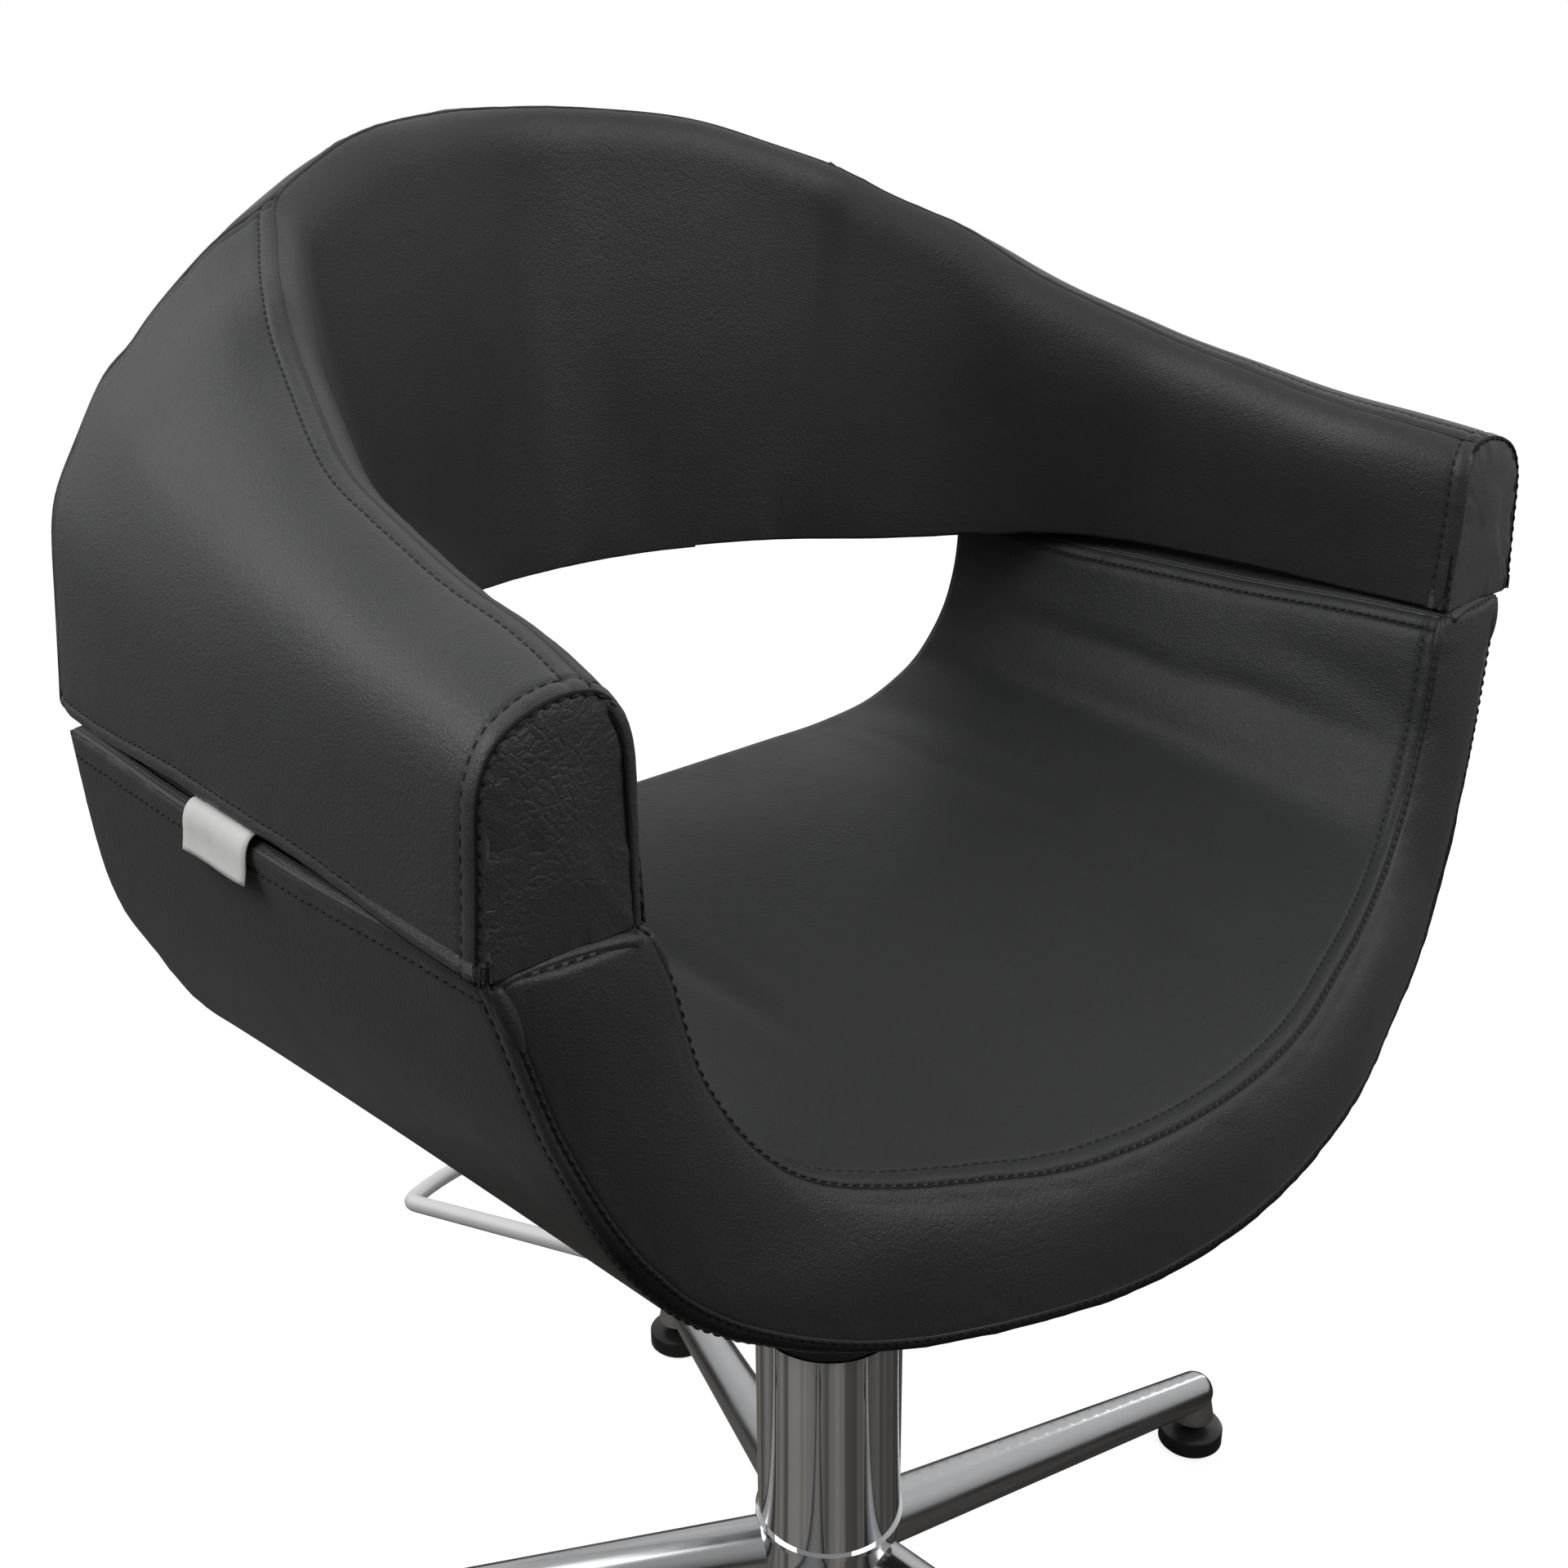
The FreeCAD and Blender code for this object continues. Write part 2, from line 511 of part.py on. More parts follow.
def build_tub():
    cover = tub_layer([0] * TUB_ROWS, [COVER_T] * TUB_ROWS)
    pocket_x, pocket_y = BLOCK_X + 0.5, BLOCK_Y + 0.5
    pocket = box(-pocket_x, pocket_x, -pocket_y, pocket_y, 380, BLOCK_TOP)
    save("tub_outer_cover", cover.cut(pocket))

    shell = tub_layer(SHELL_DEPTHS, [d + SHELL_T for d in SHELL_DEPTHS])
    save("mount_block", mount_block(shell))
    save("tub_shell", drill(shell, STUD_POINTS, STUD_R, STUD_Z0, TUB_TOP + 2))
    save("seat_inner_pad", tub_layer([d + SHELL_T + SKIN_GAP for d in SHELL_DEPTHS]))

    lengths = [tub_length(row) for row in range(TUB_ROWS)]
    save("tub_front_band", end_band([(0.0, FRONT_T / length) for length in lengths]))
    save("tub_rear_band", end_band([(1 - REAR_T / length, 1.0) for length in lengths]))


def build_band_mounts():
    """Studs and flat spacer bars that tie the band to the tub arms."""
    bar = box(STUD_X - 14, STUD_X + 14, -150.0, 78.0, TUB_TOP, BAND_BOTTOM)
    bar = drill(bar, [(STUD_X, y) for y in STUD_Y], STUD_R + STUD_CLEARANCE,
                TUB_TOP - 1, BAND_BOTTOM + 1)
    save("spacer_bar_left", bar)
    save("spacer_bar_right", mirror_x(bar))
    save_group("arm_studs", [cylinder(STUD_R, STUD_Z0, STUD_Z1, x, y)
                             for x, y in STUD_POINTS])


# ---------------------------------------------------------------- band
def outward(line, k):
    """Horizontal unit direction square to a band line, away from the sitter."""
    if k == BACK_CENTRE:
        return 0.0, 1.0
    before, after = line[max(0, k - 1)], line[k + 1]
    run_x, run_y = after[0] - before[0], after[1] - before[1]
    length = math.hypot(run_x, run_y)
    return run_y / length, -run_x / length


def band_outer(k):
    """Outer profile at a station, from the ridge to the outer bottom edge."""
    if k <= CORNER:
        t = k / CORNER
        t = t * t * (3 - 2 * t) * 0.5 + t * 0.5
        start, end = ARM_PROFILE, CORNER_PROFILE
    else:
        t = min(1.0, (k - CORNER) / (BACK_START - CORNER))
        start, end = CORNER_PROFILE, BACK_PROFILE
    ridge, edge = RIDGE[k], OUTER_EDGE[k]
    points = []
    for (out_a, up_a), (out_b, up_b) in zip(start, end):
        out, up = lerp(out_a, out_b, t), lerp(up_a, up_b, t)
        points.append(V(lerp(ridge[0], edge[0], out), lerp(ridge[1], edge[1], out),
                        BAND_BOTTOM + (ridge[2] - BAND_BOTTOM) * up))
    return points


def band_shoulder(k, inset=13, drop=30):
    """Point inwards of and below the ridge, by default the top of the inner face."""
    out_x, out_y = outward(RIDGE, k)
    x, y, z = RIDGE[k]
    return V(x - out_x * inset, y - out_y * inset, z - drop)


def band_inner(k):
    """Inner profile at a station, from below the ridge to the inner bottom edge."""
    shoulder = band_shoulder(k)
    edge = V(*INNER_EDGE[k], BAND_BOTTOM)
    return [band_shoulder(k, 6, 4.5), band_shoulder(k, 12, 17), shoulder,
            (shoulder + edge) * 0.5, edge]


def frame_section(k):
    """Frame corners: low inner, low outer, top outer, top inner; leans with the back."""
    inner_depth, thickness = 18, 12.0
    out_x, out_y = outward(INNER_EDGE, k)
    x, y = INNER_EDGE[k]
    z0, z1 = BAND_BOTTOM + 5.0, RIDGE[k][2] - 42.0
    shoulder = band_shoulder(k)
    share = (z1 - BAND_BOTTOM) / (shoulder.z - BAND_BOTTOM)
    lean_x, lean_y = (shoulder.x - x) * share, (shoulder.y - y) * share

    def corner(depth, z, lean):
        return V(x + out_x * depth + lean_x * lean, y + out_y * depth + lean_y * lean, z)

    outer_depth = inner_depth + thickness
    return [corner(inner_depth, z0, 0), corner(outer_depth, z0, 0),
            corner(outer_depth, z1, 1), corner(inner_depth, z1, 1)]


def band_section(k):
    """Sections of the frame, the inner pad and the outer cover at a station."""
    out_x, out_y = outward(INNER_EDGE, k)

    def shift(point, out, up=0.0):
        return V(point.x + out_x * out, point.y + out_y * out, point.z + up)

    frame = frame_section(k)
    low_in, low_out, top_out, top_in = frame
    outer = band_outer(k)
    ridge = outer[0]
    # pad and cover part from the ridge to the middle of the frame top, round the
    # frame, and on from the middle of its underside to the band bottom
    seam_top = (top_in + top_out) * 0.5 + V(0, 0, SKIN_GAP)
    seam_low = (low_in + low_out) * 0.5 - V(0, 0, SKIN_GAP)
    seam_bottom = V(seam_low.x, seam_low.y, BAND_BOTTOM)
    pad = [ridge] + band_inner(k) + [
        seam_bottom, seam_low, shift(low_in, -SKIN_GAP, -SKIN_GAP),
        shift(top_in, -SKIN_GAP, SKIN_GAP), seam_top]
    seam_gap = 0.75
    cover = [shift(ridge, seam_gap)] + outer[1:] + [
        shift(seam_bottom, seam_gap), shift(seam_low, seam_gap),
        shift(low_out, BAND_GAP, -SKIN_GAP), shift(top_out, BAND_GAP, SKIN_GAP),
        shift(seam_top, seam_gap)]
    return frame, pad, cover


def build_band():
    frames, pads, covers = [list(part) for part in zip(
        *[band_section(k) for k in range(BACK_CENTRE + 1)])]
    # the arm ends are cut square
    for sections in (frames, pads, covers):
        sections[0] = [V(p.x, INNER_EDGE[0][1], p.z) for p in sections[0]]
    clear_r, clear_top = STUD_R + STUD_CLEARANCE, STUD_Z1 + 3
    for name, sections, hole_r, hole_top in (
            ("back_frame", frames, STUD_R, STUD_Z1),
            ("back_inner_pad", pads, clear_r, clear_top),
            ("back_outer_cover", covers, clear_r, clear_top)):
        solid = loft_both_sides(sections)
        save(name, drill(solid, STUD_POINTS, hole_r, TUB_TOP, hole_top))


def build_arm_caps():
    """D-shaped pads closing both ends of the band."""
    profile = band_outer(0) + band_inner(0)[::-1]
    cap = face([V(p.x, -177.0, p.z) for p in profile]).extrude(V(0, 10.0, 0))
    save("arm_cap_left", cap)
    save("arm_cap_right", mirror_x(cap))


def label_tag():
    """Blank folded tag at the seam on the sitter's right side."""
    # (x, z) round the tag: its upper and outer face, then back along the other face
    outline = [
        (-300.0, 631.0), (-306.8, 632.6), (-310.4, 628.6), (-311.4, 621.0),
        (-312.2, 614.0), (-311.6, 614.0), (-310.8, 621.0), (-309.8, 628.4),
        (-306.5, 632.0), (-300.0, 630.4)]
    return face([V(x, -21.5, z) for x, z in outline]).extrude(V(0, 48.5, 0))


build_base()
build_column()
build_housing_foot()
build_thrust_bearing()
build_pump()
build_seat_support()
build_pedal()
build_tub()
build_band_mounts()
build_band()
build_arm_caps()
save("label_tag", label_tag())
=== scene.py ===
# A black leather chair: a seat tub, with a raised band round its arms and back, on a metal frame.
# The frame comes from the CAD pieces; this builds the upholstery, the materials and the studio.
# The chair faces -Y, its left side is +X and Z is up. Upholstery is worked out in millimetres
# and turned into metres when a mesh is made; materials and the studio are in metres.
import json
import math

import bpy
import numpy as np
from mathutils import Matrix, Vector


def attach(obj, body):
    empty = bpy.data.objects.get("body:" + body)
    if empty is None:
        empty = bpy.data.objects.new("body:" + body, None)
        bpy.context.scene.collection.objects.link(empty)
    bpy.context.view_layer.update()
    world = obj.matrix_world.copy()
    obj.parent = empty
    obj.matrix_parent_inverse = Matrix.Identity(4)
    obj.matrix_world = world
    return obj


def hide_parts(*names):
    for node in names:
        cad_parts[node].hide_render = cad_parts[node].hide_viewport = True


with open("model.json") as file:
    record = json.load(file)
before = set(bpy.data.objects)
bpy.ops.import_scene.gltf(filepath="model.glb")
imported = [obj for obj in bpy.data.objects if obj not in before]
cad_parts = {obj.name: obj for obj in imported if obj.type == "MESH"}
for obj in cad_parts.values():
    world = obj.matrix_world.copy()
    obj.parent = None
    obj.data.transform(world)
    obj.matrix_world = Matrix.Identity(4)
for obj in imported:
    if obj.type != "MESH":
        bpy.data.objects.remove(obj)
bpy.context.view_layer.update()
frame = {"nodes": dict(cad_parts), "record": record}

scene = bpy.context.scene

# ------------------------------------------------------------------ shape tables, mm
# Every outline runs from the left side (+X) to the middle of the chair and is then mirrored.

# Tub, front edge of the outer face: x, y, z
TUB_OUTER_FRONT = [
    (312.5, -172, 628), (305.5, -175, 605.5), (297.5, -178, 575.5), (289, -181, 551),
    (279.5, -184, 527), (266.5, -188, 503.5), (249, -193, 483.5), (224.5, -201, 467),
    (197, -208, 453.5), (167, -216, 443.5), (131.5, -227, 437.5), (98.5, -234, 432),
    (68.5, -238, 427), (32, -242, 424.8), (0, -243, 424)]
# how far the front seam lies in from that edge, at each of its points
SEAM_INSET = [2.6, 2.6, 3.4, 4.2, 5.9, 7.2, 7.0, 6.0, 5.0, 4.4, 4.4, 4.8, 5.2, 5.4, 5.6]
# Tub, front edge of the inner face: x, y, z
TUB_INNER_FRONT = [
    (249.5, -176, 628), (243.5, -177.5, 612), (239, -179, 594), (234.5, -180, 577),
    (228, -181.5, 562), (219, -184, 546), (207, -187, 531), (190, -192, 518),
    (167, -199, 509), (142, -206, 502), (117, -212, 496), (92, -218, 490),
    (67, -223, 487), (35, -227, 485), (0, -229, 485)]
# Tub, rear edge of the outer face: x, z
TUB_OUTER_REAR = [
    (307, 628), (304.6, 597), (297.2, 550), (284.8, 522.5), (274, 500), (258.6, 479.7),
    (239.5, 464), (217, 448.2), (191.8, 435.1), (164, 424.2), (130, 417.6), (97.2, 412),
    (67.6, 407.6), (31.8, 404.6), (0, 403.2)]
# Tub, rear edge of the inner face: x, z
TUB_INNER_REAR = [
    (243, 628), (242, 612), (239, 597), (234.5, 585), (228, 574), (219, 563), (207, 552),
    (190, 543), (167, 535), (142, 531.5), (117, 530), (92, 530), (67, 530), (35, 530), (0, 530)]
TUB_REAR_Y = 140.0
TUB_TOP = 628.0

# Band, inner bottom edge at each station: x, y
BAND_INNER = [
    (251.5, -174.2), (254.5, -130), (254.5, -90), (253, -50), (252.5, -10), (249, 22),
    (238, 57), (222, 82), (200, 101.5), (176, 121), (151, 145), (128, 167.5),
    (106, 180.5), (85, 190.5), (64, 198.5), (42, 204), (21, 207), (0, 208)]
# Band, ridge at each station: x, y, z
BAND_RIDGE = [
    (266.5, -174.2, 715.5), (258, -130, 723.5), (254.8, -90, 730), (251, -50, 740),
    (246, -10, 750.5), (238, 21, 762), (226, 55, 776), (216, 84, 791), (206, 107, 805),
    (193, 132, 816), (181, 153, 826.5), (168, 172, 837), (141, 190, 848), (113, 204, 858),
    (85, 215, 864), (56, 226, 867), (28, 234, 868.7), (0, 237, 869)]
# Band, outer bottom edge at each station: x, y
BAND_OUTER = [
    (317, -174.2), (315, -130), (312.5, -90), (310.5, -50), (309, -10), (307.5, 20),
    (306, 55), (304.8, 84), (303.4, 112), (301.5, 140), (299.5, 160), (296, 172),
    (245, 201), (196, 224), (147, 241), (98, 252.7), (49, 259.7), (0, 262)]
BAND_BOTTOM = 634.0
LAST_STATION = 2 * (len(BAND_RIDGE) - 1)
CORNER_STATION = 11                     # rear corner; the other is as far from the far end
# Band, outer cross-section from the ridge down to the bottom edge:
# share of the way outwards, share of the ridge's height
SECTION_FRONT = [(0, 1.0), (.15, 1.015), (.32, 1.012), (.5, .985), (.66, .94), (.78, .875),
                 (.86, .79), (.91, .67), (.94, .45), (.97, .2), (1, 0)]
SECTION_CORNER = [(0, 1), (.117, .955), (.234, .915), (.375, .846), (.516, .766), (.60, .711),
                  (.695, .657), (.82, .532), (.914, .418), (.953, .26), (1, 0)]
SECTION_REAR = [(0, 1), (.15, .995), (.3, .985), (.45, .965), (.6, .93), (.7, .88), (.78, .8),
                (.85, .67), (.91, .5), (.96, .25), (1, 0)]
# Band, top of the inner face: distance inwards from the ridge, height above it
INNER_LIP = [(0, 0), (6, -4.5), (12, -17), (13, -30)]

# Distances of the grid lines from a panel edge; the line at STITCH_LINE carries the topstitch
EDGE_LINES = [0, .5, 1.2, 2.2, 3.5, 5, 6.5, 7.6, 8.5, 9.4, 10.6, 12.5, 15, 18.5]
STITCH_LINE = 8
GRID_STEP = 5.0

# Stitches
STITCH_PITCH, CAP_STITCH_PITCH = 4.7, 5.0
STITCH_LENGTH, STITCH_RADIUS, STITCH_LIFT = 3.3, .46, .12


# ------------------------------------------------------------------ curves and grids
def spline(knots, values, query):
    """Natural cubic spline through rows of values, read at query."""
    knots, values, query = (np.asarray(a, float) for a in (knots, values, query))
    count, gap = len(knots), np.diff(knots)
    system, right = np.zeros((count, count)), np.zeros_like(values)
    system[0, 0] = system[-1, -1] = 1
    for i in range(1, count - 1):
        system[i, i - 1:i + 2] = gap[i - 1], 2 * (gap[i - 1] + gap[i]), gap[i]
    right[1:-1] = 6 * np.diff(np.diff(values, axis=0) / gap[:, None], axis=0)
    bend = np.linalg.solve(system, right)
    k = np.clip(np.searchsorted(knots, query, side="right") - 1, 0, count - 2)
    before, after = (knots[k + 1] - query)[..., None], (query - knots[k])[..., None]
    width = gap[k][..., None]
    return ((bend[k] * before ** 3 + bend[k + 1] * after ** 3) / (6 * width)
            + (values[k] / width - bend[k] * width / 6) * before
            + (values[k + 1] / width - bend[k + 1] * width / 6) * after)


def arclen(points):
    return np.r_[0.0, np.cumsum(np.linalg.norm(np.diff(points, axis=0), axis=1))]


def sample(points, along, query):
    return np.stack([np.interp(query, along, points[:, c]) for c in range(points.shape[1])], 1)


def unit(vectors):
    return vectors / np.maximum(np.linalg.norm(vectors, axis=-1, keepdims=True), 1e-9)


def blend(start, end, shares):
    """Points on the straight line from start to end."""
    return start[None] * (1 - shares)[:, None] + end[None] * shares[:, None]


def mirror(half):
    """A left-hand outline carried on to the right-hand side."""
    return np.array(half + [(-p[0], *p[1:]) for p in reversed(half[:-1])], float)


def soften(loop, corners, widths):
    """Rounds a closed loop (first point not repeated) at its corners, over the half widths."""
    count = len(loop)
    tripled = np.vstack([loop] * 3)
    along = arclen(tripled)
    slices = (tripled[1:] + tripled[:-1]) / 2 * np.diff(along)[:, None]
    integral = np.vstack([np.zeros((1, 3)), np.cumsum(slices, axis=0)])
    here, perimeter = along[count:2 * count], along[count]
    out = loop.copy()
    for corner, width in zip(corners, widths):
        away = np.abs(here - along[count + corner])
        away = np.minimum(away, np.abs(away - perimeter))
        near = away < 2 * width
        half = np.maximum(width - away[near] / 2, 1e-3)
        ahead = sample(integral, along, here[near] + half)
        behind = sample(integral, along, here[near] - half)
        out[near] = (ahead - behind) / (2 * half[:, None])
    return out


def split_loop(loop, starts):
    """Cuts a closed loop into runs that share their end points."""
    closed = np.vstack([loop, loop[:1]])
    return [closed[a:b + 1] for a, b in zip(starts, starts[1:] + [len(loop)])]


def inner_line_count(length, step=GRID_STEP):
    """Number of evenly spaced grid lines between the two sets of edge lines."""
    return int((length - 2 * EDGE_LINES[-1]) / step)


def positions(length, count):
    """Grid line positions: dense at both edges, with count even lines between."""
    edge = np.array(EDGE_LINES, float)
    span = 2 * edge[-1]
    squeeze = 1.0 if span < length * 0.8 else length * 0.8 / span
    edge = edge * squeeze
    middle = np.linspace(edge[-1], length - edge[-1], count + 2)[1:-1]
    return np.r_[edge, middle, (length - edge)[::-1]]


def lay_grid(curves, least):
    """Grid whose columns are the curves, all resampled to one number of rows."""
    longest = max(arclen(curve)[-1] for curve in curves)
    count = max(least, inner_line_count(longest))
    columns = []
    for curve in curves:
        along = arclen(curve)
        columns.append(sample(curve, along, positions(along[-1], count)))
    return np.stack(columns, 1)


def normals(grid):
    return unit(np.cross(np.gradient(grid, axis=0), np.gradient(grid, axis=1)))


def facing(grid, outward, centre=(0, 0, 700.0)):
    """Grid normals that point away from a centre inside the chair, or towards it."""
    found = normals(grid)
    return found if (np.sum(found * (grid - np.array(centre))) > 0) == outward else -found


def wobble(along, seed):
    """Irregular ripple along an edge."""
    random = np.random.default_rng(seed)
    ripple = np.zeros_like(along)
    for wavelength, height in ((7.0, .35), (11.0, .5), (17.0, .7), (29.0, .8), (47.0, .6)):
        ripple += height * np.sin(2 * math.pi * along / wavelength + random.uniform(0, 6.28))
    return ripple / 1.6


# ------------------------------------------------------------------ mesh building
def link(obj):
    scene.collection.objects.link(obj)
    return obj


def on_seat(obj, replaces=None):
    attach(obj, "seat")
    if replaces:
        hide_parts(replaces)


def settle(verts):
    """Bulges the soft covers towards each other across the gap between band and tub."""
    gap_z, reach = 637, 70
    verts = np.array(verts, float)
    y, z = verts[:, 1], verts[:, 2]

    def ease(x):
        return np.clip(x, 0, 1) ** 2 * (3 - 2 * np.clip(x, 0, 1))

    # most of all at the rear and at the front
    amount = 1.5 + 4.0 * ease((y - 30) / 110) + 2.5 * ease((-y - 50) / 90)
    up = (z < gap_z) * ease(1 - (gap_z - z) / reach)
    down = (z >= gap_z) * ease(1 - (z - gap_z) / reach)
    verts[:, 2] += amount * (up - down)
    return verts


def mesh_obj(name, verts, faces, material):
    mesh = bpy.data.meshes.new(name)
    faces = faces if isinstance(faces, list) else faces.tolist()
    mesh.from_pydata((settle(verts) * 0.001).tolist(), [], faces)
    mesh.update()
    mesh.polygons.foreach_set("use_smooth", np.full(len(mesh.polygons), True))
    obj = link(bpy.data.objects.new(name, mesh))
    mesh.materials.append(material)
    return obj


def border_ring(rows, cols):
    """Indices of a grid's border points, in order round it."""
    last = (rows - 1) * cols
    return np.array([c for c in range(cols)]
                    + [r * cols + cols - 1 for r in range(1, rows)]
                    + [last + c for c in range(cols - 2, -1, -1)]
                    + [r * cols for r in range(rows - 2, 0, -1)])


def two_sided(front, back, normal):
    """Vertices and faces of a closed sheet; the front is wound to face along its normals."""
    rows, cols = front.shape[:2]
    count = rows * cols
    verts = np.vstack([front.reshape(-1, 3), back.reshape(-1, 3)])
    r, c = np.meshgrid(np.arange(rows - 1), np.arange(cols - 1), indexing="ij")
    first = (r * cols + c).ravel()
    quads = np.stack([first, first + 1, first + cols + 1, first + cols], 1)
    ring = border_ring(rows, cols)
    following = np.roll(ring, -1)
    sides = np.stack([following, ring, ring + count, following + count], 1)
    faces = np.vstack([quads, quads[:, ::-1] + count, sides])
    p, q, s = verts[faces[(rows // 2) * (cols - 1) + cols // 2][:3]]
    if np.dot(np.cross(q - p, s - q), normal[rows // 2, cols // 2]) < 0:
        faces = faces[:, ::-1]
    return verts, faces


def shell(name, front, normal, thickness, material):
    """Closed sheet behind a front grid; thickness is one value or one per grid point."""
    thickness = np.broadcast_to(thickness, front.shape[:2])
    back = front - normal * thickness[..., None]
    return mesh_obj(name, *two_sided(front, back, normal), material)


def tube(name, points, radius, material, sides=8, closed=False):
    points = np.asarray(points, float)
    count = len(points)
    if closed:
        tangent = unit(np.roll(points, -1, 0) - np.roll(points, 1, 0))
    else:
        tangent = unit(np.gradient(points, axis=0))
    start = np.array([0, 0, 1.0]) if abs(tangent[0, 2]) < .9 else np.array([1.0, 0, 0])
    across = unit(np.cross(tangent[0], start))
    acrosses = []
    for t in tangent:
        across = unit(across - t * np.dot(across, t))
        acrosses.append(across)
    acrosses = np.array(acrosses)
    ups = np.cross(tangent, acrosses)
    angle = np.linspace(0, 2 * math.pi, sides, endpoint=False)
    ring = (acrosses[:, None] * np.cos(angle)[None, :, None]
            + ups[:, None] * np.sin(angle)[None, :, None])
    radii = np.broadcast_to(radius, count)
    verts = (points[:, None] + ring * radii[:, None, None]).reshape(-1, 3)
    faces = []
    for i in range(count if closed else count - 1):
        j = (i + 1) % count
        for k in range(sides):
            m = (k + 1) % sides
            faces.append([i * sides + k, i * sides + m, j * sides + m, j * sides + k])
    if not closed:
        verts = np.vstack([verts, points[:1], points[-1:]])
        first, last = len(verts) - 2, len(verts) - 1
        for k in range(sides):
            m = (k + 1) % sides
            faces.append([first, m, k])
            faces.append([last, (count - 1) * sides + k, (count - 1) * sides + m])
    return mesh_obj(name, verts, faces, material)


def seat_tube(name, points, radius, material, **options):
    on_seat(tube(name, points, radius, material, **options))


# ------------------------------------------------------------------ stitches
stitch_lines = {}       # group: list of (points, normals)
# one thread stitch: share of length from its middle, share of radius, lift in radii
STITCH_PROFILE = [(-.5, .25, -.55), (-.36, .9, -.12), (-.12, 1, .12),
                  (.12, 1, .12), (.36, .9, -.12), (.5, .25, -.55)]


def add_stitch_line(group, points, normal):
    stitch_lines.setdefault(group, []).append((points, normal))


def stitches(name, lines, pitch):
    """Slim closed capsules along each line, dipping at both ends."""
    sides, reach, lean = 6, 1.5, .10
    angle = np.linspace(0, 2 * math.pi, sides, endpoint=False)
    cos, sin = np.cos(angle)[:, None], np.sin(angle)[:, None]
    verts, faces, base = [], [], 0
    for points, line_normals in lines:
        along = arclen(points)
        total = along[-1]
        if total < pitch * 2:
            continue
        count = int(total // pitch)
        middle = (np.arange(count) + .5) * total / count
        centres = sample(points, along, middle)
        up = unit(sample(line_normals, along, middle))
        forward = unit(sample(points, along, np.minimum(middle + reach, total))
                       - sample(points, along, np.maximum(middle - reach, 0)))
        # threads lean a little to one side, like a lock stitch
        forward = unit(forward + lean * unit(np.cross(up, forward)))
        side = np.cross(up, forward)
        for i in range(count):
            for share, swell, rise in STITCH_PROFILE:
                centre = (centres[i] + forward[i] * share * STITCH_LENGTH
                          + up[i] * (STITCH_LIFT + rise * STITCH_RADIUS))
                verts.append(centre + (side[i] * cos + up[i] * sin) * STITCH_RADIUS * swell)
            last = len(STITCH_PROFILE) - 1
            for a in range(last):
                near, far = base + a * sides, base + (a + 1) * sides
                for b in range(sides):
                    d = (b + 1) % sides
                    faces.append([near + b, far + b, far + d, near + d])
            faces.append([base + b for b in range(sides)])
            faces.append([base + last * sides + b for b in reversed(range(sides))])
            base += len(STITCH_PROFILE) * sides
    return mesh_obj(name, np.vstack(verts), faces, THREAD)


# ------------------------------------------------------------------ shader building
class Graph:
    """A node tree with short calls. An input takes a plain value or another node's output."""

    def __init__(self, tree):
        self.tree = tree

    def feed(self, node, inputs):
        for socket, value in inputs.items():
            if isinstance(value, bpy.types.NodeSocket):
                self.tree.links.new(value, node.inputs[socket])
            else:
                node.inputs[socket].default_value = value

    def add(self, kind, inputs=None, **settings):
        node = self.tree.nodes.new("ShaderNode" + kind)
        for key, value in settings.items():
            setattr(node, key, value)
        self.feed(node, inputs or {})
        return node

    def out(self, kind, *inputs, **settings):
        """First output of a new node whose inputs are given in order."""
        return self.add(kind, dict(enumerate(inputs)), **settings).outputs[0]

    def math(self, operation, a, b):
        return self.out("Math", a, b, operation=operation)

    def ramp(self, source, low, high, to_low, to_high):
        """Maps source from low..high to to_low..to_high."""
        return self.add("MapRange", {
            "From Min": low, "From Max": high, "To Min": to_low, "To Max": to_high,
            "Value": source}).outputs[0]

    def noise(self, vector, scale, detail=2.0, output="Fac"):
        inputs = {"Vector": vector, "Scale": scale, "Detail": detail}
        return self.add("TexNoise", inputs).outputs[output]

    def wave(self, vector, scale, inputs=None, **settings):
        inputs = {"Vector": vector, "Scale": scale, **(inputs or {})}
        return self.add("TexWave", inputs, **settings).outputs["Fac"]

    def mix(self, factor, a, b):
        """Colour mix."""
        return self.add("Mix", {0: factor, 6: a, 7: b}, data_type="RGBA").outputs[2]

    def scaled(self, vector, scale):
        return self.add("VectorMath", {0: vector, "Scale": scale}, operation="SCALE").outputs[0]


class Surface(Graph):
    """A new material with a principled shader."""

    def __init__(self, name):
        self.material = bpy.data.materials.new(name)
        self.material.use_nodes = True
        super().__init__(self.material.node_tree)
        self.tree.nodes.clear()
        self.output = self.add("OutputMaterial")
        self.principled = self.add("BsdfPrincipled")
        self.feed(self.output, {0: self.principled.outputs[0]})
        self.coords = self.add("TexCoord").outputs["Object"]

    def set(self, inputs):
        self.feed(self.principled, inputs)

    def bump(self, height, strength, distance):
        inputs = {"Strength": strength, "Distance": distance, "Height": height}
        self.set({"Normal": self.add("Bump", inputs).outputs["Normal"]})

    def cells(self, warp_scale, warp_detail, warp_shift, cell_scale):
        """Distance to the edge of warped cells."""
        warp = self.noise(self.coords, warp_scale, warp_detail, "Color")
        moved = self.out("VectorMath", self.coords, self.scaled(warp, warp_shift),
                         operation="ADD")
        return self.add("TexVoronoi", {"Vector": moved, "Scale": cell_scale},
                        feature="DISTANCE_TO_EDGE").outputs["Distance"]


def tint(base, factor=1):
    return (*[x * factor for x in base], 1)


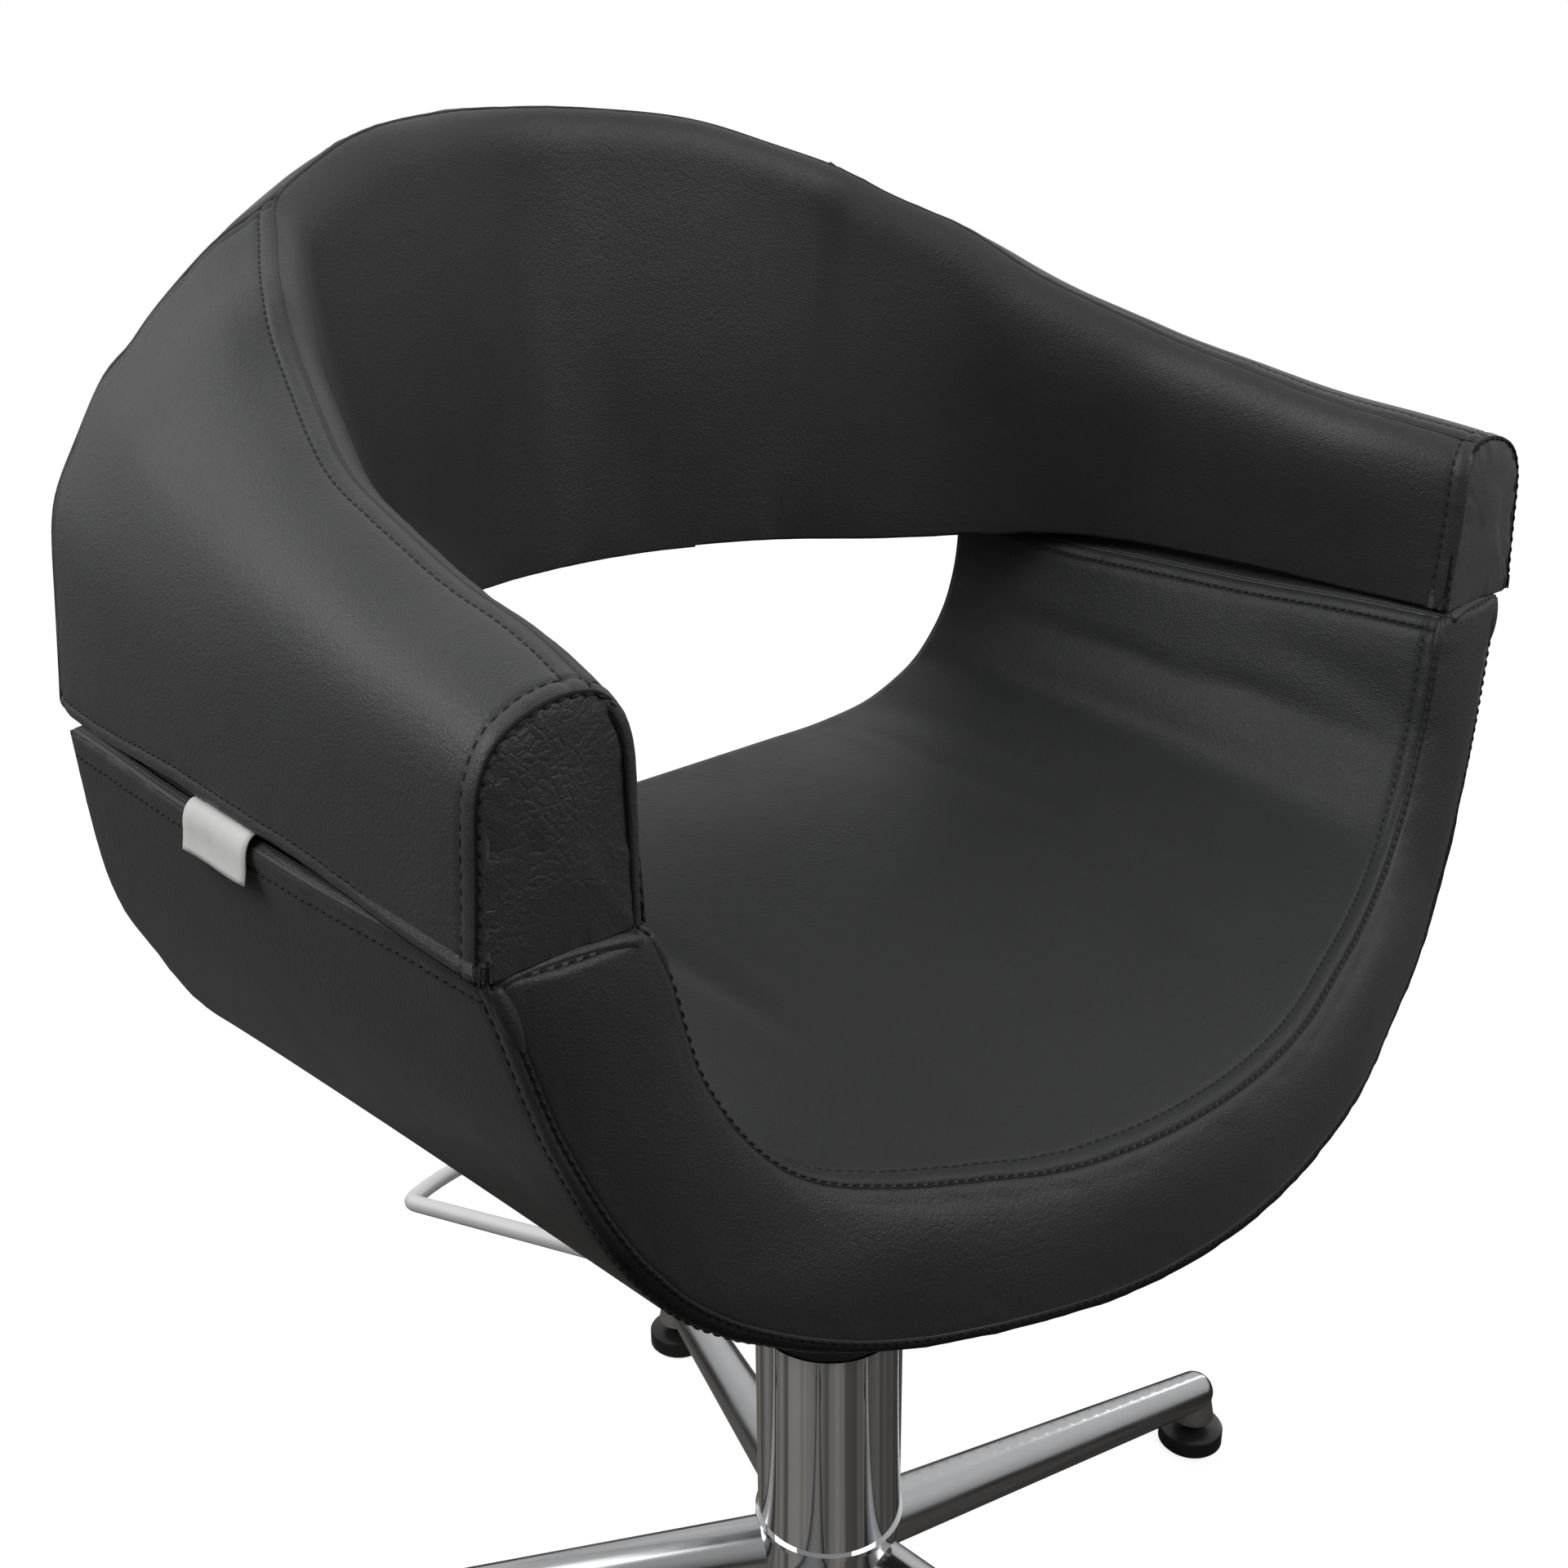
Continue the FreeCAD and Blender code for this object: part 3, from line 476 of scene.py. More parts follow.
# ------------------------------------------------------------------ materials
def leather(name, base=(.030, .031, .032), rough=.46, grain=1.0, crepe=.35, spec=.42,
            painted_underside_shade=None):
    """grain is the pebble height and crepe the wrinkle height. The last argument (low, high,
    least)
    paints shade on the hide: its tone, specular and sheen fall to least of their value from
    height high down to low, in metres."""
    s = Surface(name)
    sheen = .10
    pebble = s.ramp(s.cells(warp_scale=150.0, warp_detail=2.0, warp_shift=.0022,
                            cell_scale=640.0), 0, .32, 0, 1)
    fine = s.noise(s.coords, scale=2600.0, detail=1.0)
    # crepe wrinkles: warped cells, stronger in patches
    wrinkle = s.ramp(s.cells(warp_scale=38.0, warp_detail=3.0, warp_shift=.02,
                             cell_scale=250.0), 0, .22, 0, 1)
    patch = s.noise(s.coords, scale=16.0)
    mask = s.ramp(patch, .38, .68, .25, 1)
    # heights of the four layers of relief
    pebble_height = s.math("MULTIPLY", pebble, .50 * grain)
    fine_height = s.math("MULTIPLY", fine, .22 * grain)
    crepe_height = s.math("MULTIPLY", s.math("MULTIPLY", wrinkle, mask), 1.6 * crepe)
    soft_height = s.math("MULTIPLY", s.noise(s.coords, scale=70.0), 1.3)
    height = s.math("ADD", s.math("ADD", pebble_height, fine_height),
                    s.math("ADD", crepe_height, soft_height))
    s.bump(height, strength=.55, distance=.00028)
    # slightly lighter on rubbed areas, darker in the grain
    tone = s.math("ADD", s.math("MULTIPLY", patch, .55), s.math("MULTIPLY", pebble, .35))
    colour = s.mix(tone, tint(base, .84), tint(base, 1.14))
    s.set({"Specular IOR Level": spec})
    if painted_underside_shade:
        # painted shade: tone, specular and sheen darken towards the underside; the shade sits
        # lower towards the rear
        low, high, least = painted_underside_shade
        place = s.add("SeparateXYZ", {0: s.coords}).outputs
        level = s.math("ADD", place["Z"], s.math("MULTIPLY", place["Y"], .35))
        light = s.ramp(level, low, high, least, 1)
        s.set({"Base Color": s.scaled(colour, light),
               "Specular IOR Level": s.math("MULTIPLY", light, spec),
               "Sheen Weight": s.math("MULTIPLY", light, sheen)})
    else:
        s.set({"Base Color": colour, "Sheen Weight": sheen})
    uneven = s.math("ADD", s.math("MULTIPLY", patch, .14), s.math("MULTIPLY", fine, .08))
    s.set({"Roughness": s.math("ADD", uneven, rough - .11), "Sheen Roughness": .5})
    return s.material


def metal(name, base, rough, bump, brushed=0.0, metallic=1.0):
    """brushed above 0 draws the fine noise out along Z."""
    s = Surface(name)
    stretch = s.add("Mapping", {"Scale": (1, 1, .04 if brushed else 1), "Vector": s.coords})
    fine = s.noise(stretch.outputs["Vector"], scale=900.0 if brushed else 35.0, detail=3.0)
    smear = s.ramp(s.noise(s.coords, scale=12.0, detail=4.0), .35, .75, 0, 1)
    uneven = s.math("ADD", s.math("MULTIPLY", fine, brushed * .25 + rough * .35),
                    s.math("MULTIPLY", smear, rough * .6))
    s.set({"Roughness": s.math("ADD", uneven, rough * .7),
           "Base Color": s.mix(smear, tint(base), tint(base, .93)),
           "Metallic": metallic})
    s.bump(fine, strength=bump, distance=.00004)
    return s.material


def plastic(name, base, rough, bump, scale=900.0):
    """scale is that of the fine surface texture."""
    s = Surface(name)
    fine = s.noise(s.coords, scale)
    cloud = s.noise(s.coords, scale=40.0, detail=4.0)
    s.set({"Base Color": s.mix(cloud, tint(base, .8), tint(base, 1.3)),
           "Roughness": s.math("ADD", s.math("MULTIPLY", cloud, .2), rough - .1)})
    s.bump(fine, strength=bump, distance=.0001)
    return s.material


def wood(name):
    s = Surface(name)
    ply_thickness = .0015
    stretch = s.add("Mapping", {"Scale": (1, .12, 1), "Vector": s.coords})
    grain = s.noise(stretch.outputs["Vector"], scale=220.0, detail=4.0)
    z = s.add("SeparateXYZ", {0: s.coords}).outputs["Z"]
    band = s.ramp(s.math("PINGPONG", z, ply_thickness), 0, ply_thickness, 0, 1)
    tone = s.math("ADD", s.math("MULTIPLY", grain, .7), s.math("MULTIPLY", band, .3))
    s.set({"Base Color": s.mix(tone, (.30, .19, .10, 1), (.58, .43, .27, 1)),
           "Roughness": .62})
    s.bump(grain, strength=.4, distance=.0002)
    return s.material


def thread(name):
    s = Surface(name)
    base = (.006, .006, .0065)
    twist = s.wave(s.coords, 900.0, {"Distortion": 2.0})
    cloud = s.noise(s.coords, scale=500.0)
    s.set({"Base Color": s.mix(cloud, tint(base, .6), tint(base, 1.8)),
           "Roughness": s.ramp(cloud, 0, 1, .55, .85)})
    s.bump(twist, strength=.5, distance=.0001)
    return s.material


def label_cloth(name):
    s = Surface(name)
    weave = s.math("MULTIPLY", s.wave(s.coords, 420.0, bands_direction="Y"),
                   s.wave(s.coords, 420.0, bands_direction="Z"))
    cloud = s.noise(s.coords, scale=60.0, detail=3.0)
    s.set({"Base Color": s.mix(cloud, (.66, .66, .65, 1), (.84, .84, .83, 1)),
           "Roughness": s.ramp(cloud, 0, 1, .45, .6)})
    s.bump(weave, strength=.35, distance=.0001)
    return s.material


LEATHER = leather("leather_soft")
LEATHER_CAP_RIGHT = leather("leather_cap", base=(.031, .0315, .032), grain=1.2, crepe=1.1,
                            rough=.44)
# left arm cap: the same hide with its base colour doubled as painted light, and little crepe so
# it stays smooth
LEATHER_CAP_LEFT_PAINTED_LIGHT = leather("leather_cap_plain_painted_light", base=(.060, .0605, .061), grain=.8, crepe=.15)
LEATHER_FRONT = leather("leather_front", base=(.025, .0255, .026), crepe=.42)
# the outer tub panel carries painted shade, darker towards its underside
LEATHER_TUB = leather("leather_tub_outer", base=(.031, .031, .031), painted_underside_shade=(.455, .505, .25))
LEATHER_SEAT = leather("leather_seat", base=(.025, .026, .0265), spec=.36)
LEATHER_BAND_INNER = leather("leather_band_inner", base=(.034, .0345, .035))
THREAD = thread("thread_black")
CORD = leather("leather_piping", base=(.016, .016, .017), grain=.6, crepe=.1, rough=.5)
# cord for the seam round each arm cap: near-black and dull, painted shade for the seam groove
CORD_PAINTED_SHADE = leather("leather_seam_painted_shade", base=(.006, .006, .006), grain=1.2, crepe=.1,
                    rough=.62, spec=.2)
CHROME = metal("chrome_polished", base=(.70, .71, .72), rough=.045, bump=.04)
CHROME_LEG = metal("chrome_satin", base=(.55, .56, .57), rough=.21, bump=.1)
# pedal rod: a half-metallic, near-white copy of the chrome; its brightness is a painted
# reflection of a pale floor
CHROME_ROD_PAINTED_BRIGHT = metal("chrome_rod_painted_bright", base=(.97, .97, .97), rough=.48, bump=.1, metallic=.45)
STEEL = metal("steel_brushed", base=(.56, .56, .57), rough=.28, brushed=.6, bump=.3)
PAINT = plastic("powder_coat_black", base=(.018, .018, .019), rough=.42, bump=.25,
                scale=1400.0)
IRON = metal("cast_iron_dark", base=(.10, .10, .105), rough=.42, bump=.8, metallic=.9)
BRASS = metal("brass_satin", base=(.70, .53, .24), rough=.25, bump=.2)
NYLON = plastic("nylon_black", base=(.009, .009, .009), rough=.34, bump=.12, scale=700.0)
RUBBER = plastic("rubber_black", base=(.010, .010, .010), rough=.72, bump=.3)
WOOD = wood("plywood")
TAG_CLOTH = label_cloth("woven_tag")

MATERIAL_OF_SLOT = {
    "chrome": CHROME, "steel": STEEL, "painted_black": PAINT, "cast_iron": IRON,
    "brass": BRASS, "nylon_black": NYLON, "rubber_black": RUBBER, "plywood": WOOD,
    "black_leather": LEATHER, "woven_label": TAG_CLOTH}


# ------------------------------------------------------------------ CAD frame
def frame_material(node, slot):
    if node.startswith("leg_"):
        return CHROME_LEG
    # the pedal rod gets the whitened chrome, brightened as a painted reflection
    return CHROME_ROD_PAINTED_BRIGHT if node == "pedal_loop" else MATERIAL_OF_SLOT[slot]


def dress_frame():
    """Gives the CAD pieces materials, smooth curved faces and crisp edges."""
    for part in frame["record"]["subparts"]:
        obj = frame["nodes"].get(part["node"])
        if obj is None:
            continue
        mesh = obj.data
        mesh.materials.clear()
        mesh.materials.append(frame_material(part["node"], part["material_slot"]))
        weld = obj.modifiers.new("weld", "WELD")
        weld.merge_threshold = 2e-6
        crisp = obj.modifiers.new("crisp", "EDGE_SPLIT")
        crisp.split_angle = math.radians(32)
        crisp.use_edge_sharp = False
        mesh.polygons.foreach_set("use_smooth", np.full(len(mesh.polygons), True))
        for attribute in ("custom_normal", "sharp_edge"):
            if attribute in mesh.attributes:
                mesh.attributes.remove(mesh.attributes[attribute])


dress_frame()


# ------------------------------------------------------------------ cloth bulge
def simulate_cloth(grid, normal):
    """Inflates a sheet pinned at its edges; returns each point's outward move, mm."""
    rows, cols = grid.shape[:2]
    count = rows * cols
    last_frame, back_offset = 20, 20
    verts, faces = two_sided(grid, grid - normal * back_offset, normal)
    mesh = bpy.data.meshes.new("cloth_tmp")
    mesh.from_pydata((verts * .001).tolist(), [], faces.tolist())
    obj = link(bpy.data.objects.new("cloth_tmp", mesh))
    pins = obj.vertex_groups.new(name="pin")
    pins.add(border_ring(rows, cols).tolist() + list(range(count, 2 * count)), 1.0, "REPLACE")
    cloth = obj.modifiers.new("Cloth", "CLOTH")
    settings = cloth.settings
    settings.quality = 6
    settings.mass = .35
    settings.tension_stiffness = settings.compression_stiffness = 18
    settings.shear_stiffness = 12
    settings.bending_stiffness = 1.2
    settings.use_pressure = True
    settings.uniform_pressure_force = 4.0
    settings.vertex_group_mass = "pin"
    settings.effector_weights.gravity = 0
    cloth.collision_settings.use_collision = False
    cloth.point_cache.frame_start, cloth.point_cache.frame_end = 1, last_frame
    for number in range(1, last_frame + 1):
        scene.frame_set(number)
    evaluated = obj.evaluated_get(bpy.context.evaluated_depsgraph_get())
    places = np.zeros(len(mesh.vertices) * 3)
    evaluated.data.vertices.foreach_get("co", places)
    moved = places.reshape(-1, 3)[:count].reshape(rows, cols, 3) * 1000
    bpy.data.objects.remove(obj)
    bpy.data.meshes.remove(mesh)
    scene.frame_set(1)
    return np.einsum("ijk,ijk->ij", moved - grid, normal)


def cloth_bulge(grid, normal, target):
    """Bulge of a puffed panel at each grid point, scaled so the largest is about target mm."""
    most_rows, most_cols = 26, 72
    rows, cols = grid.shape[:2]
    coarse_rows = np.unique(np.r_[np.arange(0, rows, max(1, (rows - 1) // most_rows)), rows - 1])
    coarse_cols = np.unique(np.r_[np.arange(0, cols, max(1, (cols - 1) // most_cols)), cols - 1])
    pick = np.ix_(coarse_rows, coarse_cols)
    bulge = np.clip(simulate_cloth(grid[pick], normal[pick]), 0, None)
    top = np.percentile(bulge, 99)
    if top > 1e-6:
        bulge = bulge * (target / top)
    bulge = np.clip(bulge, 0, target * 1.15)
    # back to the fine grid, then lightly smoothed
    tall = np.stack([np.interp(np.arange(rows), coarse_rows, column) for column in bulge.T], 1)
    full = np.stack([np.interp(np.arange(cols), coarse_cols, row) for row in tall])
    for _ in range(2):
        full[1:-1] = (full[:-2] + 2 * full[1:-1] + full[2:]) / 4
        full[:, 1:-1] = (full[:, :-2] + 2 * full[:, 1:-1] + full[:, 2:]) / 4
    return full


# ------------------------------------------------------------------ one upholstery panel
def run_along(grid, axis):
    """Distance travelled along one axis of a grid."""
    steps = np.linalg.norm(np.diff(grid, axis=axis), axis=2)
    return np.insert(np.cumsum(steps, axis=axis), 0, 0, axis=axis)


def panel(name, grid, normal, material, edges, group, seed, bulge=0.0, wrinkle=.22,
          thick=7.0, groove=1.0):
    """Makes a padded panel and returns it with its outer face.

    edges: (rounding radius, topstitched?) at row start, row end, column start, column end.
    groove: depth of the topstitch groove, 1 being full.
    """
    edge_thickness, ramp_width = 2.2, 12
    by_row, by_col = run_along(grid, 0), run_along(grid, 1)
    from_edge = [by_row, by_row[-1:] - by_row, by_col, by_col[:, -1:] - by_col]
    lift = np.zeros(grid.shape[:2])
    for e, (radius, stitched) in enumerate(edges):
        away = from_edge[e]
        along = by_col if e < 2 else by_row
        if radius > 0:
            inside = np.clip(radius - away, 0, radius)
            lift -= radius - np.sqrt(np.maximum(radius * radius - inside * inside, 0))
            lift -= .7 * np.exp(-away / 4.5)
            # puckers close to the seam
            lift += (wrinkle * np.exp(-(away / 13.0) ** 2) * wobble(along, seed * 7 + e)
                     * np.clip(away / 3, 0, 1))
        if stitched:
            # the groove, and the padded welt between it and the edge
            lift -= .75 * groove * np.exp(-((away - EDGE_LINES[STITCH_LINE]) / 1.15) ** 2)
            lift += .35 * (2 * groove - 1) * np.exp(-((away - 4.6) / 2.2) ** 2)
    if bulge:
        lift += cloth_bulge(grid, normal, bulge)
    face = grid + normal * lift[..., None]
    nearest = np.minimum.reduce(from_edge)
    thickness = edge_thickness + np.clip(nearest / ramp_width, 0, 1) * (thick - edge_thickness)
    obj = shell(name, face, normal, thickness, material)
    for e, (_, stitched) in enumerate(edges):
        if not stitched:
            continue
        number = STITCH_LINE if e % 2 == 0 else -1 - STITCH_LINE
        line = (number, slice(None)) if e < 2 else (slice(None), number)
        # stop short of the two edges that the line runs into
        keep = True
        for end in ((2, 3) if e < 2 else (0, 1)):
            keep = keep & (from_edge[end][line] > (8.2 if edges[end][1] else 2.0))
        add_stitch_line(group, face[line][keep], normal[line][keep])
    on_seat(obj)
    return obj, face


# ------------------------------------------------------------------ tub
# panels in order round the tub's cross-section
FRONT, SEAT, REAR, OUTER = range(4)
TUB_LEFT, TUB_RIGHT = ("left", 0, 1), ("right", -1, -1)     # side, grid column, sign of x
# name, CAD piece it replaces, material, edges, bulge, wrinkle, groove
TUB_PANELS = [
    ("front_band", "tub_front_band", LEATHER_FRONT,
     [(2.0, False), (2.0, False), (3.5, False), (3.5, False)], 2.0, .3, 1.0),
    ("seat_panel", "seat_inner_pad", LEATHER_SEAT,
     [(2.0, True), (2.5, False), (3.5, True), (3.5, True)], 5.0, .3, 1.0),
    ("rear_band", "tub_rear_band", LEATHER,
     [(2.5, False), (2.5, False), (3.5, False), (3.5, False)], 1.5, .22, 1.0),
    ("tub_outer_panel", "tub_outer_cover", LEATHER_TUB,
     [(2.5, False), (2.0, True), (3.5, True), (3.5, True)], 3.0, .22, .55)]


def tub_section(outer_front, inner_front, outer_rear, inner_rear, seam_inset):
    """Closed cross-section running front to rear, cut into the four panels' runs."""
    front_count, seat_count, rear_count, strip_count = 22, 110, 18, 9
    front_crown, rear_crown = 4.2, 3.0
    span = inner_front - outer_front
    length = np.linalg.norm(span)
    seam = outer_front + span * seam_inset / length
    w = np.linspace(0, 1, front_count)
    flat = np.array([span[2], 0, -span[0]]) / max(np.hypot(span[0], span[2]), 1e-6)
    forward = np.cross(span / length, flat)
    if forward[1] > 0:
        forward = -forward
    crown = np.sin(math.pi * w) ** .75 * front_crown
    front = blend(seam, inner_front, w) + forward[None] * crown[:, None]
    s = np.linspace(0, 1, seat_count)

    def rearward(start, end, x_share, z_share):
        return np.stack([start[0] + (end[0] - start[0]) * x_share,
                         start[1] + (TUB_REAR_Y - start[1]) * s,
                         start[2] + (end[1] - start[2]) * z_share], 1)

    seat = rearward(inner_front, inner_rear, s ** 2.2, 1 - (1 - s) ** 2.2)
    outer = rearward(outer_front, outer_rear, s, 1 - (1 - s) ** .9)[::-1]
    w = np.linspace(0, 1, rear_count)
    rear = blend(seat[-1], outer[0], w)
    rear[:, 1] += np.sin(math.pi * w) ** .8 * rear_crown
    # narrow strip of the outer cover, turned over the front edge as far as the seam
    strip = blend(outer_front, seam, np.linspace(0, 1, strip_count))
    runs = [run[:-1] for run in (front, seat, rear, outer, strip)]
    starts = [0] + [int(n) for n in np.cumsum([len(run) for run in runs[:-1]])]
    loop = soften(np.vstack(runs), starts[1:], [5.5, 7.0, 4.0, min(5.2, .85 * seam_inset)])
    return split_loop(loop, starts[:-1])


def tub_grids():
    outer_front = mirror(TUB_OUTER_FRONT)
    knots = arclen(outer_front)
    # columns are spaced by true length along the outer front edge
    dense = np.linspace(0, knots[-1], 2000)
    length = arclen(spline(knots, outer_front, dense))
    count = inner_line_count(length[-1])
    columns = np.interp(positions(length[-1], count), length, dense)
    outlines = [spline(knots, outline, columns) for outline in (
        outer_front, mirror(TUB_INNER_FRONT), mirror(TUB_OUTER_REAR), mirror(TUB_INNER_REAR))]
    inset = np.interp(columns, knots, SEAM_INSET + SEAM_INSET[-2::-1])
    sections = [tub_section(*ends) for ends in zip(*outlines, inset)]
    return [lay_grid([section[q] for section in sections], least=4) for q in range(4)]


def tub_normals(grids):
    around = np.vstack([grid[:-1] for grid in grids])
    outwards = around - around.mean(axis=0, keepdims=True)
    sign = 1.0 if np.sum(outwards * normals(around)) > 0 else -1.0
    return [normals(grid) * sign for grid in grids]


def make_tub_panels(grids, grid_normals):
    faces = []
    for q, (name, node, material, edges, bulge, wrinkle, groove) in enumerate(TUB_PANELS):
        obj, face = panel(name, grids[q], grid_normals[q], material, edges, "tub",
                          seed=11 + q, bulge=bulge, wrinkle=wrinkle, groove=groove)
        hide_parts(node)
        faces.append(face)
    return faces


def make_tub_tops(faces):
    """Strips along the tops of the tub's two arms."""
    length_count, width_count = 60, 14
    w = np.linspace(0, 1, width_count)
    for side, column, _ in (TUB_LEFT, TUB_RIGHT):
        inner, outer = faces[SEAT][:, column], faces[OUTER][:, column][::-1]
        inner, outer = (
            sample(line, arclen(line), np.linspace(0, arclen(line)[-1], length_count))
            for line in (inner, outer))
        grid = outer[None] * (1 - w)[:, None, None] + inner[None] * w[:, None, None]
        grid[..., 2] = TUB_TOP - .5 + np.sin(math.pi * w)[:, None] ** .6 * 2.6
        # carry the strip over the front and rear bands
        grid[:, 0, 1] -= 7.0
        grid[:, -1, 1] += 6.0
        up = np.zeros_like(grid)
        up[..., 2] = 1
        on_seat(shell("tub_top_" + side, grid, up, 3.0, LEATHER))


def make_tub_seams(grids, grid_normals):
    """Seam cords where each panel's last row meets the next panel's first row."""
    cord_depth, stitch_height = 1.3, 1.25
    for name, q in (("seam_front_outer", OUTER), ("seam_front_inner", FRONT),
                    ("seam_rear_inner", SEAT), ("seam_rear_outer", REAR)):
        after = (q + 1) % 4
        normal = unit(grid_normals[q][-1] + grid_normals[after][0])
        points = (grids[q][-1] + grids[after][0]) / 2 - normal * cord_depth
        seat_tube(name, points[2:-2], 1.15, CORD)
        if name.startswith("seam_front"):
            normal = normal[4:-4]
            add_stitch_line("tub_seam", points[4:-4] + normal * stitch_height, normal)


def make_tub_trim(grids, grid_normals, faces):
    """Piping, front hem and rolled corners at the tops of the two arms."""
    for side, column, sign in (TUB_LEFT, TUB_RIGHT):
        for edge, q, shift, radius in (("outer", OUTER, 1.2, 1.9), ("inner", SEAT, -1.2, 1.5)):
            points = faces[q][:, column].copy()
            points[:, 2] = TUB_TOP - 1.7
            points[:, 0] += sign * shift
            seat_tube("piping_%s_%s" % (edge, side), points[3:-3], radius, LEATHER)
        # stitched hem across the top of the front band
        hem = faces[FRONT][:, column].copy()
        hem[:, 2] = TUB_TOP - 1.2
        hem[:, 1] -= 1.4
        seat_tube("front_hem_" + side, hem[3:-3], 1.5, LEATHER_FRONT)
        normal = np.tile(np.array([[0, -.8, .6]]), (len(hem) - 8, 1))
        add_stitch_line("tub_seam", hem[4:-4] + normal * 1.35, normal)
        # rolled corners where the seams turn over the top
        for tag, row, radius, length in (("a", 0, 3.4, 26.0), ("b", -1, 2.8, 22.0)):
            line, normal = grids[FRONT][row][::sign], grid_normals[FRONT][row][::sign]
            along, query = arclen(line), np.linspace(2.0, length, 14)
            points = sample(line, along, query) - sample(normal, along, query) * 1.6
            radii = radius * np.sin(np.linspace(.55, math.pi - .12, 14)) ** .7
            seat_tube("corner_roll_%s_%s" % (tag, side), points, radii, LEATHER_FRONT,
                      sides=12)


def make_tub():
    grids = tub_grids()
    grid_normals = tub_normals(grids)
    faces = make_tub_panels(grids, grid_normals)
    make_tub_tops(faces)
    make_tub_seams(grids, grid_normals)
    make_tub_trim(grids, grid_normals, faces)


make_tub()

# ------------------------------------------------------------------ band
STATIONS = np.arange(LAST_STATION + 1.0)
ridge_knots, inner_knots, outer_knots = (
    mirror(half) for half in (BAND_RIDGE, BAND_INNER, BAND_OUTER))
OUTER_RUN, BOTTOM_RUN, INNER_RUN = range(3)
OUTER_COUNT, BOTTOM_COUNT, INNER_COUNT = 90, 20, 80      # points in each run of a section
front_profile, corner_profile, rear_profile = (
    spline(np.arange(len(table)), table, np.linspace(0, len(table) - 1, OUTER_COUNT))
    for table in (SECTION_FRONT, SECTION_CORNER, SECTION_REAR))


def outer_edge_at(stations):
    """Outer bottom edge, splined piece by piece so that the rear corners stay sharp."""
    out = np.empty((len(stations), 2))
    breaks = (0, CORNER_STATION, LAST_STATION - CORNER_STATION, LAST_STATION)
    for low, high in zip(breaks, breaks[1:]):
        here = (stations >= low) & (stations <= high)
        if here.any():
            piece = slice(low, high + 1)
            out[here] = spline(STATIONS[piece], outer_knots[piece], stations[here])
    return out


def ridge_at(station):
    return spline(STATIONS, ridge_knots, [station])[0]


def band_section(station, rear):
    """Closed cross-section, cut into its outer, bottom and inner runs."""
    from_end = min(station, LAST_STATION - station)
    ridge = ridge_at(station)
    ahead = ridge_at(min(station + .01, LAST_STATION)) - ridge_at(max(station - .01, 0))
    length = math.hypot(ahead[0], ahead[1])
    inwards = np.array([-ahead[1] / length, ahead[0] / length, 0])
    foot = np.array([*spline(STATIONS, inner_knots, [station])[0], BAND_BOTTOM])
    edge = outer_edge_at(np.array([station]))[0]
    if rear:
        t = min(1.0, (from_end - CORNER_STATION) / 5.0)
        profile = corner_profile * (1 - t) + rear_profile * t
    else:
        t = from_end / CORNER_STATION
        t = t * t * (3 - 2 * t) * .5 + t * .5
        profile = front_profile * (1 - t) + corner_profile * t
    out_share, up_share = profile[:, 0], profile[:, 1]
    outer = np.stack([ridge[0] + (edge[0] - ridge[0]) * out_share,
                      ridge[1] + (edge[1] - ridge[1]) * out_share,
                      BAND_BOTTOM + (ridge[2] - BAND_BOTTOM) * up_share], 1)
    lip = [ridge + inwards * distance + np.array([0, 0, rise]) for distance, rise in INNER_LIP]
    points = np.array(lip + [(lip[-1] + foot) / 2, foot])
    along = arclen(points)
    inner = spline(along, points, np.linspace(0, along[-1], INNER_COUNT))[::-1]
    bottom = blend(outer[-1], inner[0], np.linspace(0, 1, BOTTOM_COUNT))
    starts = [0, OUTER_COUNT - 1, OUTER_COUNT + BOTTOM_COUNT - 2]
    loop = soften(np.vstack([outer[:-1], bottom[:-1], inner[:-1]]), starts, [2.4, 3.2, 4.0])
    return split_loop(loop, starts)


dense_stations = np.linspace(0, LAST_STATION, 1400)
# distance along the band: mean of its ridge and outer bottom edge
band_distance = arclen(np.hstack([spline(STATIONS, ridge_knots, dense_stations),
                                  outer_edge_at(dense_stations)])) / math.sqrt(2)


def band_columns(first, last):
    """Stations of a panel's grid columns."""
    start, end = np.interp((first, last), dense_stations, band_distance)
    length = end - start
    places = positions(length, inner_line_count(length, GRID_STEP * 1.05))
    return np.interp(start + places, band_distance, dense_stations)


def band_grids(first, last, rear, runs):
    sections = [band_section(k, rear) for k in band_columns(first, last)]
    return [lay_grid([section[run] for section in sections], least=3) for run in runs]


def make_band_outer():
    """Outer and bottom panels; returns the outer grids and normals by name."""
    made = {}
    far_corner = LAST_STATION - CORNER_STATION
    # name, first and last station, rear?, rounding at column start and end, bulge
    for name, first, last, rear, start_radius, end_radius, bulge in (
            ("band_side_left", 0, CORNER_STATION, False, 2.2, 2.0, 1.2),
            ("band_rear", CORNER_STATION, far_corner, True, 2.0, 2.0, 2.0),
            ("band_side_right", far_corner, LAST_STATION, False, 2.0, 2.2, 1.2)):
        grid, under = band_grids(first, last, rear, (OUTER_RUN, BOTTOM_RUN))
        normal = facing(grid, outward=True)
        edges = [(1.8, True), (3.0, True), (start_radius, True), (end_radius, True)]
        obj, _ = panel(name, grid, normal, LEATHER, edges, "band", seed=31 + first,
                       bulge=bulge)
        made[name] = (grid, normal)
        down = np.zeros_like(under)
        down[..., 2] = -1
        panel(name.replace("band_", "band_bottom_"), under, down, LEATHER,
              [(2.5, False), (2.5, False), (0, False), (0, False)], "band", seed=3,
              wrinkle=.1, thick=4.0)
        if name == "band_side_left":
            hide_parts("back_outer_cover")
    return made


